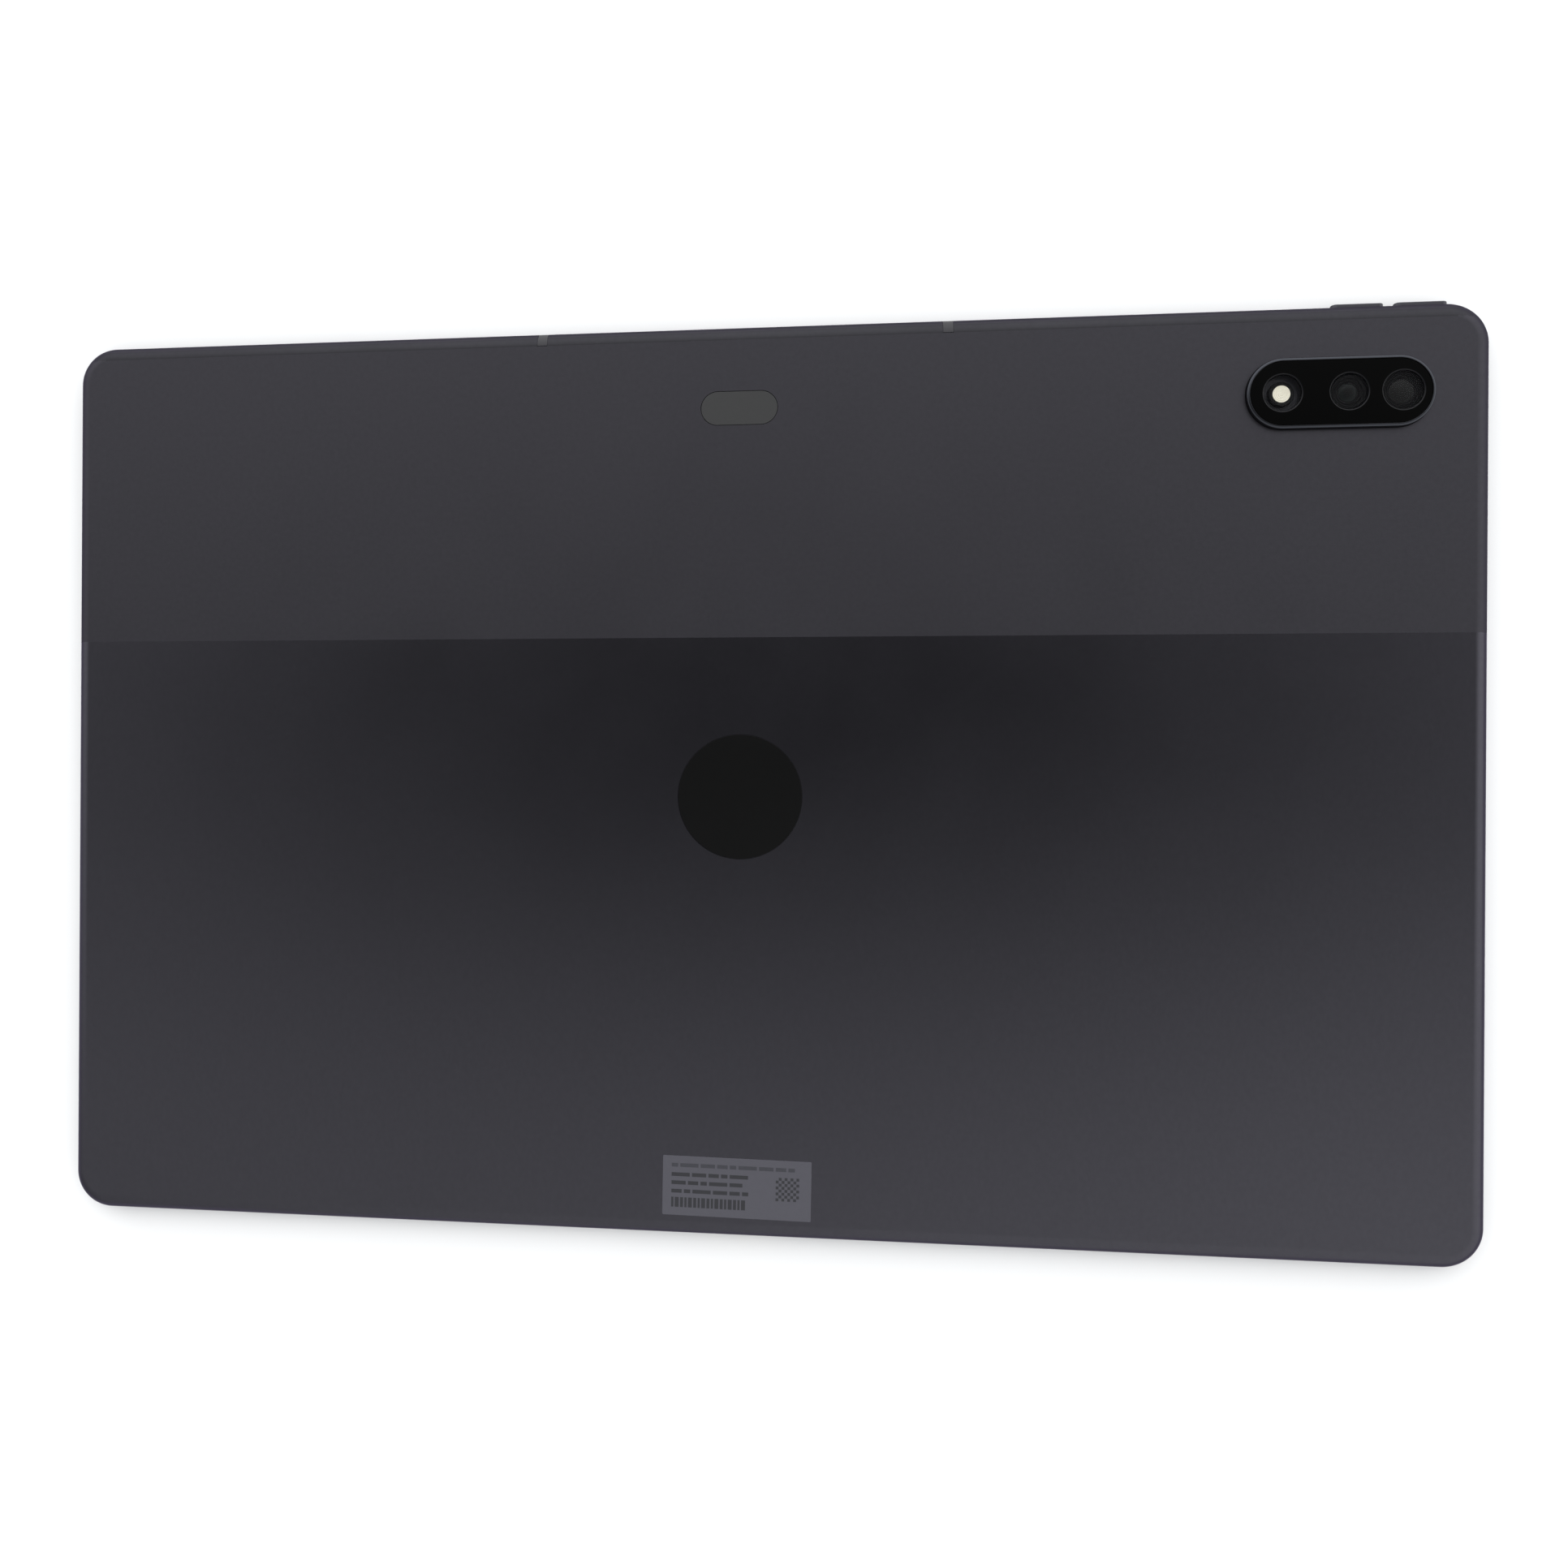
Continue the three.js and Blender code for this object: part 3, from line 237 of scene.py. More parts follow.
def rectangle(length, width):
    x, y = length / 2, width / 2
    return [(-x, -y), (x, -y), (x, y), (-x, y)]


# ---------------- solids


def upright(x=0, y=0):
    """A sketch plane that is level. Its third direction is up."""
    return lambda u, v, w: (x + u, y + v, w)


def facing_x(y, z):
    return lambda u, v, w: (w, y + u, z + v)


def facing_y(x, z):
    return lambda u, v, w: (x + u, w, z + v)


def stack(sections, place, marks=None, closed=False):
    """A closed solid through outlines of equal counts.

    sections holds (points, height along the third direction), and marks the material number of each
    band between two outlines. A closed stack runs on from its last outline to its first.
    """
    solid = bmesh.new()
    loops = [[solid.verts.new(place(u, v, w)) for u, v in points] for points, w in sections]
    pairs = list(zip(loops, loops[1:])) + ([(loops[-1], loops[0])] if closed else [])
    marks = marks or [0] * len(pairs)
    count = len(loops[0])
    for (near, far), mark in zip(pairs, marks):
        for i in range(count):
            j = (i + 1) % count
            solid.faces.new((near[i], near[j], far[j], far[i])).material_index = mark
    if not closed:
        solid.faces.new(loops[0]).material_index = marks[0]
        solid.faces.new(loops[-1]).material_index = marks[-1]
    bmesh.ops.recalc_face_normals(solid, faces=solid.faces)
    return solid


def prism(points, low, high, place):
    return stack([(points, low), (points, high)], place)


def block(x_low, x_high, y_low, y_high, low, high):
    middle = upright((x_low + x_high) / 2, (y_low + y_high) / 2)
    return prism(rectangle(x_high - x_low, y_high - y_low), low, high, middle)


def softened(outline, low, high, place, radius, steps=3):
    """A prism whose far edge is rounded. outline(inset) gives its points."""
    far = [(outline(radius * (1 - math.cos(turn))), high - radius * (1 - math.sin(turn)))
           for turn in quarter_turn(steps)]
    return stack([(outline(0), low), *far], place)


def as_mesh(name, solid):
    mesh = bpy.data.meshes.new(name)
    solid.to_mesh(mesh)
    solid.free()
    return mesh


def placed(name, data):
    made = bpy.data.objects.new(name, data)
    scene.collection.objects.link(made)
    return made


def temporary(solid):
    return placed("tool", as_mesh("tool", solid))


def combine(operation, base, *tools):
    """DIFFERENCE, UNION or INTERSECT of solids, as a new solid."""
    target = temporary(base)
    helpers = [temporary(tool) for tool in tools]
    for helper in helpers:
        step = target.modifiers.new("step", "BOOLEAN")
        step.operation = operation
        step.solver = "MANIFOLD"
        step.object = helper
    result = bmesh.new()
    result.from_object(target, bpy.context.evaluated_depsgraph_get())
    for item in [target, *helpers]:
        mesh = item.data
        bpy.data.objects.remove(item)
        bpy.data.meshes.remove(mesh)
    return result


def cut(base, *tools):
    return combine("DIFFERENCE", base, *tools)


def joined(base, *others):
    return combine("UNION", base, *others)


def gathered(solids):
    """Separate solids kept side by side in one."""
    whole = bmesh.new()
    for solid in solids:
        mesh = as_mesh("shell", solid)
        whole.from_mesh(mesh)
        bpy.data.meshes.remove(mesh)
    return whole


def marked(solid, mark):
    for face in solid.faces:
        face.material_index = mark
    return solid


# ---------------- pieces


SHARP_ANGLE = math.radians(40)
WIDE_LEVEL_FACE = 1e-6  # in square metres, as the meshes are
WIDE_CAP = 5e-6


def flatten_wide_faces(mesh):
    """Wide flat faces keep their own normals, so that a rounding beside them doesn't bend the light."""
    for polygon in mesh.polygons:
        wide_level = abs(polygon.normal.z) > LEVEL and polygon.area > WIDE_LEVEL_FACE
        if wide_level or (len(polygon.vertices) > 4 and polygon.area > WIDE_CAP):
            polygon.use_smooth = False


def piece(name, solid, materials, nodes, body="tablet", normals=None):
    """Makes the solid a shown piece that rides on a body and stands for CAD nodes."""
    bmesh.ops.scale(solid, vec=(MM, MM, MM), verts=solid.verts)
    mesh = as_mesh(name, solid)
    for material in materials:
        mesh.materials.append(material)
    mesh.polygons.foreach_set("use_smooth", [True] * len(mesh.polygons))
    mesh.set_sharp_from_angle(angle=SHARP_ANGLE)
    if normals:
        normals(mesh)
    else:
        flatten_wide_faces(mesh)
    made = placed(name, mesh)
    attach(made, body)
    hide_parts(*nodes)


def limits(node):
    """The CAD node's box in millimetres: lowest and highest corner."""
    low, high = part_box(node)
    return Vector(low) / MM, Vector(high) / MM


def middle(node):
    low, high = limits(node)
    return (low + high) / 2


HOUSING_LOW, HOUSING_HIGH = limits("rear_housing")
SIDE_X, SIDE_Y, TOP_Z = HOUSING_HIGH
RIM_Z = HOUSING_LOW.z
INNER_X = SIDE_X - SIDE_WALL
INNER_Y = SIDE_Y - SIDE_WALL
INNER_TOP_Z = TOP_Z - BACK_WALL


def body_outline(inset):
    """The tablet's own outline, drawn in by a distance."""
    return rounded_rect(2 * (SIDE_X - inset), 2 * (SIDE_Y - inset), CORNER_RADIUS - inset, CORNER_STEPS)


def outer_form(inset):
    """The tablet's outer form, drawn in on every side by a distance."""
    radius = EDGE_RADIUS - inset
    sections = [
        (body_outline(inset + RIM_BEVEL), RIM_Z),
        (body_outline(inset), RIM_Z + RIM_BEVEL),
    ]
    for turn in quarter_turn(EDGE_STEPS):
        height = TOP_Z - EDGE_RADIUS + radius * math.sin(turn)
        sections.append((body_outline(inset + radius * (1 - math.cos(turn))), height))
    return stack(sections, upright())


def outer_normal(point):
    """The outer form's own normal at a point on its side wall, its rounding or its flat back."""
    x, y, z = point / MM
    corner_x = max(abs(x) - (SIDE_X - CORNER_RADIUS), 0)
    corner_y = max(abs(y) - (SIDE_Y - CORNER_RADIUS), 0)
    if corner_x > 0 and corner_y > 0:
        level = Vector((math.copysign(corner_x, x), math.copysign(corner_y, y), 0)).normalized()
    elif SIDE_X - abs(x) < SIDE_Y - abs(y):
        level = Vector((math.copysign(1, x), 0, 0))
    else:
        level = Vector((0, math.copysign(1, y), 0))
    lift = min(max((z - (TOP_Z - EDGE_RADIUS)) / EDGE_RADIUS, 0), 1)
    return level * math.sqrt(1 - lift * lift) + Vector((0, 0, lift))


NEARLY_ALONG = 0.99


def follow_outer_form(mesh):
    """Shades the faces on the outer form with its own normals, whatever way they are divided."""
    normals = [Vector(n.vector) for n in mesh.corner_normals]
    for polygon in mesh.polygons:
        true_normal = outer_normal(polygon.center)
        low_rim = polygon.center.z < (RIM_Z + RIM_BEVEL) * MM
        if low_rim or polygon.normal.dot(true_normal) < NEARLY_ALONG:
            continue
        for corner in polygon.loop_indices:
            point = mesh.vertices[mesh.loops[corner].vertex_index].co
            normals[corner] = outer_normal(point)
    mesh.normals_split_custom_set(normals)


# ---------------- materials


def socket(node, name, value):
    node.inputs[name].default_value = value


def new_material(name, color, roughness, metallic=0.0, **extra):
    material = bpy.data.materials.new(name)
    material.use_nodes = True
    shader = material.node_tree.nodes["Principled BSDF"]
    socket(shader, "Base Color", (*color, 1))
    socket(shader, "Roughness", roughness)
    socket(shader, "Metallic", metallic)
    for key, value in extra.items():
        socket(shader, key.replace("_", " "), value)
    material.diffuse_color = (*color, 1)
    return material


def add_node(material, kind, **values):
    node = material.node_tree.nodes.new(kind)
    for key, value in values.items():
        if hasattr(node, key):
            setattr(node, key, value)
        else:
            socket(node, key.replace("_", " "), value)
    return node


def link(material, source, output, target, name):
    material.node_tree.links.new(source.outputs[output], target.inputs[name])


def to_shader(material, source, output, name):
    link(material, source, output, material.node_tree.nodes["Principled BSDF"], name)


def texture(material, kind, stretch=(1, 1, 1), **values):
    """A texture laid out in the piece's own coordinates."""
    coordinates = add_node(material, "ShaderNodeTexCoord")
    mapping = add_node(material, "ShaderNodeMapping", Scale=stretch)
    link(material, coordinates, "Object", mapping, "Vector")
    made = add_node(material, kind, **values)
    link(material, mapping, "Vector", made, "Vector")
    return made


def noise(material, scale, detail=4.0, **extra):
    return texture(material, "ShaderNodeTexNoise", Scale=scale, Detail=detail, **extra)


def vary_gloss(material, pattern, low, high):
    """The pattern drives the roughness between low and high."""
    spread = add_node(material, "ShaderNodeMapRange", To_Min=low, To_Max=high)
    link(material, pattern, "Fac", spread, "Value")
    to_shader(material, spread, "Result", "Roughness")


def tint(material, pattern, output, first, second):
    """The pattern drives the base colour from the first to the second."""
    ramp = add_node(material, "ShaderNodeValToRGB")
    ramp.color_ramp.elements[0].color = (*first, 1)
    ramp.color_ramp.elements[1].color = (*second, 1)
    link(material, pattern, output, ramp, "Fac")
    to_shader(material, ramp, "Color", "Base Color")
    return ramp


def emboss(material, pattern, output, depth):
    """The pattern raises the surface by up to depth, in metres."""
    bump = add_node(material, "ShaderNodeBump", Strength=1.0, Distance=depth)
    link(material, pattern, output, bump, "Height")
    to_shader(material, bump, "Normal", "Normal")


def shade(color, factor):
    return tuple(c * factor for c in color)


HANDLING = 38  # scale of the uneven gloss


def grainy(name, color, roughness, metallic=0.0, grain=2500, depth=4e-6, mottle=0.06, wear=0.06,
           gleam=0.5, **extra):
    """A material with a fine grain, a soft mottle of its colour and uneven gloss."""
    material = new_material(name, color, roughness, metallic, Specular_IOR_Level=gleam, **extra)
    fine = noise(material, grain, 3)
    emboss(material, fine, "Fac", depth)
    clouds = noise(material, grain / 3, 5)
    tint(material, clouds, "Fac", shade(color, 1 - mottle), shade(color, 1 + mottle))
    vary_gloss(material, noise(material, HANDLING, 5), roughness - wear, roughness + wear)
    return material


def brushed(name, color, roughness, direction=(1, 40, 40), metallic=1.0):
    """Metal with fine scratches along one direction."""
    material = new_material(name, color, roughness, metallic)
    scratches = noise(material, 300, 6, stretch=direction)
    emboss(material, scratches, "Fac", 3e-6)
    tint(material, scratches, "Fac", shade(color, 0.85), shade(color, 1.1))
    vary_gloss(material, noise(material, 90), roughness - 0.08, roughness + 0.08)
    return material


def banded(name, color, second, roughness, scale, direction="X", metallic=0.0):
    """Fine parallel bands, such as the lines of a flat cable or the turns of a coil."""
    material = new_material(name, color, roughness, metallic)
    wave = texture(material, "ShaderNodeTexWave", bands_direction=direction, Scale=scale,
                   Distortion=0.4)
    tint(material, wave, "Fac", color, second)
    emboss(material, wave, "Fac", 2e-5)
    vary_gloss(material, noise(material, 400), roughness - 0.06, roughness + 0.06)
    return material


def circuit(name):
    """Solder mask with copper lines under it and small parts as raised cells."""
    material = new_material(name, (0.012, 0.045, 0.025), 0.42)
    cells = texture(material, "ShaderNodeTexBrick", Scale=170, Mortar_Size=0.06)
    socket(cells, "Color1", (0.01, 0.04, 0.022, 1))
    socket(cells, "Color2", (0.02, 0.06, 0.03, 1))
    socket(cells, "Mortar", (0.05, 0.12, 0.05, 1))
    to_shader(material, cells, "Color", "Base Color")
    emboss(material, cells, "Fac", 2e-5)
    vary_gloss(material, noise(material, 300), 0.35, 0.5)
    return material


def perforated(name):
    """A fine acoustic mesh."""
    material = new_material(name, (0.06, 0.06, 0.065), 0.5, 0.8)
    holes = texture(material, "ShaderNodeTexVoronoi", Scale=3200, Randomness=0.0)
    # Painted shade: the dark dots stand in for the holes, which are not cut, and carry the shade seen
    # through them.
    ramp = tint(material, holes, "Distance", (0.004, 0.004, 0.005), (0.12, 0.12, 0.13))
    ramp.color_ramp.elements[0].position = 0.3
    ramp.color_ramp.elements[1].position = 0.45
    emboss(material, holes, "Distance", 4e-5)
    vary_gloss(material, noise(material, 900), 0.4, 0.6)
    return material


# The tint of the anodised surface where it is seen at a shallow angle. It keeps the edges dull.
DULL_EDGE = (0.48, 0.46, 0.52, 1)
upper_metal = grainy("anodised_upper", (0.0452, 0.0438, 0.0503), 0.46, 1.0, grain=3200, depth=7e-6,
                     mottle=0.10, Specular_Tint=DULL_EDGE)
lower_metal = grainy("anodised_lower", (0.0563, 0.0546, 0.0636), 0.25, 1.0, grain=3600, depth=4e-6,
                     mottle=0.10, wear=0.03, Specular_Tint=DULL_EDGE)
# Painted shade: a darker copy of the upper finish, laid on the band of the upper edge's rounding where
# that rounding mirrors a dark part of the studio.
painted_shade_band_metal = grainy("anodised_painted_shade_band", (0.035, 0.0344, 0.0385), 0.46, 1.0, grain=3200, depth=7e-6,
                    mottle=0.10, Specular_Tint=DULL_EDGE)
key_metal = grainy("anodised_keys", (0.05, 0.0488, 0.0562), 0.38, 1.0, grain=3600, depth=4e-6,
                   mottle=0.08)
ring_metal = grainy("anodised_ring", (0.02, 0.02, 0.023), 0.3, 0.8, grain=5000, depth=2e-6, mottle=0.08)
ring_edge = brushed("cut_ring_edge", (0.043, 0.045, 0.052), 0.22, (30, 30, 1))
island_glass = grainy("island_black_glass", (0.0012, 0.0012, 0.0012), 0.07, grain=900, depth=2e-7,
                      wear=0.03, gleam=0.03)
window_edge = grainy("window_edge_gloss", (0.004, 0.004, 0.005), 0.15, grain=900, depth=2e-7, wear=0.03,
                     gleam=0.14)
lens_barrel = grainy("lens_barrel", (0.0015, 0.0015, 0.0015), 0.45, grain=6000, depth=3e-7, gleam=0.05)
lens_glass = grainy("lens_coated_glass", (0.0098, 0.0098, 0.0093), 0.15, grain=900, depth=1e-7,
                    wear=0.02, gleam=0.1)
second_lens_glass = grainy("second_lens_coated_glass", (0.006, 0.008, 0.0075), 0.15, grain=900,
                           depth=1e-7, wear=0.03, gleam=0.1)
lens_iris = grainy("lens_iris", (0.002, 0.002, 0.002), 0.3, grain=4000, depth=1e-6, gleam=0.08)
flash_white = grainy("flash_diffuser", (0.94, 0.9, 0.74), 0.3, grain=4000, depth=6e-6, mottle=0.04)
flash_cup = grainy("flash_cup", (0.004, 0.004, 0.004), 0.35, grain=5000, depth=3e-7, gleam=0.06)
window_plastic = grainy("pen_window_plastic", (0.031, 0.0312, 0.0315), 0.46, grain=4200, depth=5e-6,
                        mottle=0.08, gleam=0.25)
emblem_gloss = grainy("polished_inlay", (0.0045, 0.0045, 0.0045), 0.3, grain=1500, depth=3e-7,
                      wear=0.05, gleam=0.08)
label_film = grainy("label_film", (0.068, 0.0665, 0.08), 0.45, grain=2600, depth=3e-6, mottle=0.05,
                    gleam=0.3)
label_ink = grainy("label_ink", (0.012, 0.012, 0.016), 0.55, grain=6000, depth=2e-6, mottle=0.2)
faded_ink = grainy("faded_ink", (0.026, 0.026, 0.034), 0.55, grain=6000, depth=2e-6, mottle=0.2)
antenna_plastic = grainy("antenna_plastic", (0.026, 0.025, 0.029), 0.5, grain=4000, depth=5e-6,
                         gleam=0.3)
screen_border = grainy("screen_border", (0.002, 0.002, 0.0025), 0.05, grain=700, depth=1e-7, wear=0.03)
screen_area = grainy("screen_switched_off", (0.009, 0.0095, 0.012), 0.05, grain=700, depth=1e-7,
                     wear=0.03)
sensor_dot = grainy("sensor_dot", (0.01, 0.012, 0.022), 0.06, grain=700, depth=1e-7, wear=0.03)
sensor_ring = grainy("sensor_ring", (0.03, 0.03, 0.033), 0.25, grain=900, depth=2e-7, wear=0.03)
black_plastic = grainy("black_plastic", (0.012, 0.012, 0.013), 0.5, grain=3000, depth=8e-6)
rubber = grainy("seal_rubber", (0.015, 0.015, 0.016), 0.75, grain=2500, depth=1e-5)
gold = grainy("contact_gold", (0.85, 0.6, 0.25), 0.25, 1.0, grain=3000, depth=1e-6, mottle=0.08)
bright_steel = brushed("sheet_steel", (0.5, 0.5, 0.52), 0.3)
shield_tin = grainy("shield_tin", (0.5, 0.5, 0.5), 0.35, 1.0, grain=1200, depth=8e-6)
midframe_metal = grainy("midframe_casting", (0.3, 0.3, 0.31), 0.5, 0.9, grain=1500, depth=1.5e-5)
magnet_nickel = grainy("magnet_nickel", (0.45, 0.45, 0.44), 0.22, 1.0, grain=1800, depth=3e-6)
pouch = grainy("battery_pouch", (0.02, 0.02, 0.024), 0.38, 0.4, grain=500, depth=4e-5, mottle=0.15)
graphite = grainy("graphite_film", (0.03, 0.03, 0.032), 0.5, 0.3, grain=900, depth=1.2e-5)
flex_film = banded("flex_film", (0.13, 0.06, 0.012), (0.05, 0.02, 0.006), 0.35, 420)
coil_copper = banded("coil_copper", (0.6, 0.26, 0.12), (0.2, 0.08, 0.04), 0.35, 900, "Y", 1.0)
adhesive = grainy("adhesive_foam", (0.012, 0.012, 0.012), 0.8, grain=1800, depth=2e-5)
board_mask = circuit("circuit_board")
speaker_mesh = perforated("acoustic_mesh")

# ---------------- rear housing


def level_hole(points, node, low):
    at = middle(node)
    return prism(points, low, TOP_Z + PAST, upright(at.x, at.y))


def side_hole(points, y, z, side, inner=None):
    """A tool that opens the short edge on that side, from its outside in."""
    inner = INNER_X - PAST if inner is None else inner
    low, high = sorted((side * inner, side * (SIDE_X + PAST)))
    return prism(points, low, high, facing_x(y, z))


def edge_hole(points, x, z, side):
    low, high = sorted((side * (INNER_Y - PAST), side * (SIDE_Y + PAST)))
    return prism(points, low, high, facing_y(x, z))


def box_size(node):
    low, high = limits(node)
    return high - low


def antenna_tool(x):
    """The shell-shaped space of an antenna strip, across the top edge."""
    start = SIDE_Y - EDGE_RADIUS
    radius = EDGE_RADIUS - ANTENNA_DEPTH
    base = TOP_Z - EDGE_RADIUS
    inner = arc(start, base, radius, 90, 0, CORNER_STEPS // 2)
    outline = [*inner, (start + radius, -PAST), (SIDE_Y + PAST, -PAST), (SIDE_Y + PAST, TOP_Z + PAST),
               (start, TOP_Z + PAST)]
    half = ANTENNA_WIDTH / 2 + FIT_GAP / 2
    return prism(outline, x - half, x + half, facing_x(0, 0))


def antenna_xs():
    return [middle("antenna_strip_left").x, middle("antenna_strip_right").x]


def key_slot(length):
    return stadium(length + 2 * KEY_GAP, KEY_HEIGHT + 2 * KEY_GAP)


usb = middle("usb_socket_shell")
tray_door = Vector((-SIDE_X, TRAY_DOOR_Y, middle("card_tray").z))
tray_y = middle("card_tray_seal").y
rod = middle("ejector_rod")
dock = middle("dock_contact_2")


def housing_tools():
    ring = box_size("camera_ring")
    window = box_size("pen_charging_window")
    emblem_hole = circle(box_size("back_emblem_disc").x + 2 * FIT_GAP, EMBLEM_HOLE_STEPS)
    ring_hole = stadium(*grown(ring, FIT_GAP - RING_FLANGE), RING_HOLE_STEPS)
    window_hole = stadium(*grown(window, FIT_GAP - WINDOW_FLANGE), INLAY_STEPS)
    tools = [
        prism(body_outline(GLASS_INSET - FIT_GAP), -PAST, GLASS_LEDGE_Z, upright()),
        prism(body_outline(SIDE_WALL), GLASS_LEDGE_Z - PAST, INNER_TOP_Z, upright()),
        level_hole(ring_hole, "camera_ring", INNER_TOP_Z - PAST),
        level_hole(window_hole, "pen_charging_window", INNER_TOP_Z - PAST),
        level_hole(emblem_hole, "back_emblem_disc", TOP_Z - EMBLEM_DEPTH),
        side_hole(key_slot(POWER_KEY_LENGTH), middle("power_key").y, SIDE_Z, 1),
        side_hole(stadium(*grown(USB_MOUTH, FIT_GAP)), usb.y, usb.z, -1),
        side_hole(stadium(*grown(TRAY_DOOR, FIT_GAP)), tray_door.y, tray_door.z, -1,
                  SIDE_X - TRAY_DOOR_THICKNESS - FIT_GAP),
        side_hole(rectangle(*TRAY_SLOT), tray_y, tray_door.z, -1),
        side_hole(circle(ROD_BORE, BORE_STEPS), rod.y, rod.z, -1),
        edge_hole(stadium(*grown(DOCK, FIT_GAP)), dock.x, dock.z, -1),
    ]
    seat = stadium(*grown(USB_MOUTH, USB_WALL + FIT_GAP))
    tools.append(prism(seat, -SIDE_X + USB_SKIN, -INNER_X + PAST, facing_x(usb.y, usb.z)))
    for key in ("volume_down_key", "volume_up_key"):
        tools.append(edge_hole(key_slot(VOLUME_KEY_LENGTH), middle(key).x, SIDE_Z, 1))
    for side in (-1, 1):
        name = "microphone_left" if side < 0 else "microphone_right"
        tools.append(edge_hole(circle(MICROPHONE_HOLE, BORE_STEPS), middle(name).x, SIDE_Z, 1))
        for half in (-1, 1):
            for i in range(GRILLE_SLOTS):
                y = half * GRILLE_Y + (i - (GRILLE_SLOTS - 1) / 2) * GRILLE_PITCH
                tools.append(side_hole(stadium(*GRILLE_SLOT, 10), y, SIDE_Z, side))
    return tools + [antenna_tool(x) for x in antenna_xs()]


housing = cut(outer_form(0), *housing_tools())
bmesh.ops.bisect_plane(
    housing,
    geom=[*housing.verts, *housing.edges, *housing.faces],
    plane_co=(0, SEAM_Y, 0),
    plane_no=(0, 1, 0),
)
bmesh.ops.dissolve_degenerate(housing, dist=SLIVER, edges=housing.edges)
for face in housing.faces:
    at = face.calc_center_median()
    along_top_edge = at.y > SIDE_Y - EDGE_RADIUS and face.normal.y > abs(face.normal.x)
    if at.y < SEAM_Y:
        face.material_index = 1
    # Painted shade: the band on the upper edge's rounding takes the darker copy of the upper finish,
    # standing in for the dark reflection there.
    elif along_top_edge and SHADE_BAND_LIFT < face.normal.z < LEVEL:
        face.material_index = 2
    else:
        face.material_index = 0
piece("rear_housing_shell", housing, [upper_metal, lower_metal, painted_shade_band_metal],
      ["rear_housing"], normals=follow_outer_form)


def antenna_strip(x):
    start = SIDE_Y - EDGE_RADIUS
    base = TOP_Z - EDGE_RADIUS
    first = start + FIT_GAP
    depth = ANTENNA_DEPTH - FIT_GAP / 2
    outer = [p for p in arc(start, base, EDGE_RADIUS, 90, 0, CORNER_STEPS) if p[0] > first]
    inner = [p for p in arc(start, base, EDGE_RADIUS - depth, 0, 90, CORNER_STEPS) if p[0] > first]
    pocket = SIDE_Y - GLASS_INSET + FIT_GAP
    outline = [
        (first, TOP_Z - SLIVER),
        *outer,
        (SIDE_Y, RIM_Z + RIM_BEVEL),
        (SIDE_Y - RIM_BEVEL, RIM_Z),
        (pocket, RIM_Z),
        (pocket, GLASS_LEDGE_Z),
        (start + EDGE_RADIUS - depth, GLASS_LEDGE_Z),
        *inner,
        (first, TOP_Z - depth),
    ]
    return prism(outline, x - ANTENNA_WIDTH / 2, x + ANTENNA_WIDTH / 2, facing_x(0, 0))


for name, x in zip(("antenna_strip_left", "antenna_strip_right"), antenna_xs()):
    piece(f"{name}_inlay", antenna_strip(x), [antenna_plastic], [name])

# ---------------- cameras

ring_low, ring_high = limits("camera_ring")
ring_at = (ring_low + ring_high) / 2
ring_size = ring_high - ring_low - Vector((2 * RING_FLANGE, 2 * RING_FLANGE, 0))
RING_TOP = ring_high.z


def ring_outline(inset):
    return stadium(*grown(ring_size, -inset), RING_STEPS)


over_ring = upright(ring_at.x, ring_at.y)


def camera_ring():
    steps = 8
    edge = RING_INNER_EDGE
    wall, ledge = RING_WALL, RING_WALL + RING_LEDGE
    profile = [
        (-RING_FLANGE, ring_low.z),
        (-RING_FLANGE, RING_FLANGE_TOP),
        (0, RING_FLANGE_TOP),
        *[(RING_ROUNDING * (1 - math.cos(turn)), RING_TOP - RING_CHAMFER * (1 - math.sin(turn)))
          for turn in quarter_turn(steps)],
        (wall - edge, RING_TOP),
        (wall, RING_TOP - edge),
        (wall, RING_LEDGE_Z),
        (ledge, RING_LEDGE_Z),
        (ledge, ring_low.z),
    ]
    marks = [1 if 3 <= i < 3 + steps else 0 for i in range(len(profile))]
    sections = [(ring_outline(inset), z) for inset, z in profile]
    return stack(sections, over_ring, marks, closed=True)


def over(node):
    """A level sketch plane round the middle of a node."""
    at = middle(node)
    return upright(at.x, at.y)


floor_outline = ring_outline(RING_WALL + RING_LEDGE + INLAY_GAP)
floor_plate = prism(floor_outline, ring_low.z, RING_FLOOR_Z, over_ring)
holes = [prism(circle(barrel + 2 * BARREL_GAP), 0, TOP_Z + PAST, over(node))
         for node, (lens, window, barrel) in CAMERAS.items()]
piece("camera_ring_frame", gathered([camera_ring(), cut(floor_plate, *holes)]), [ring_metal, ring_edge],
      ["camera_ring"])

glass_low, glass_high = limits("camera_cover_glass")


def glass_outline(inset):
    return stadium(*grown(glass_high - glass_low, -inset), RING_STEPS)


def window_tool(node, diameter):
    """A round hole whose upper edge is rounded outwards."""
    sections = [(circle(diameter, ROUND_STEPS), 0)]
    for turn in quarter_turn(6):
        opened = 2 * WINDOW_ROUNDING * (1 - math.cos(turn))
        height = glass_high.z - WINDOW_ROUNDING * (1 - math.sin(turn))
        sections.append((circle(diameter + opened, ROUND_STEPS), height))
    sections.append((circle(diameter + 2 * WINDOW_ROUNDING, ROUND_STEPS), TOP_Z + PAST))
    return stack(sections, over(node))


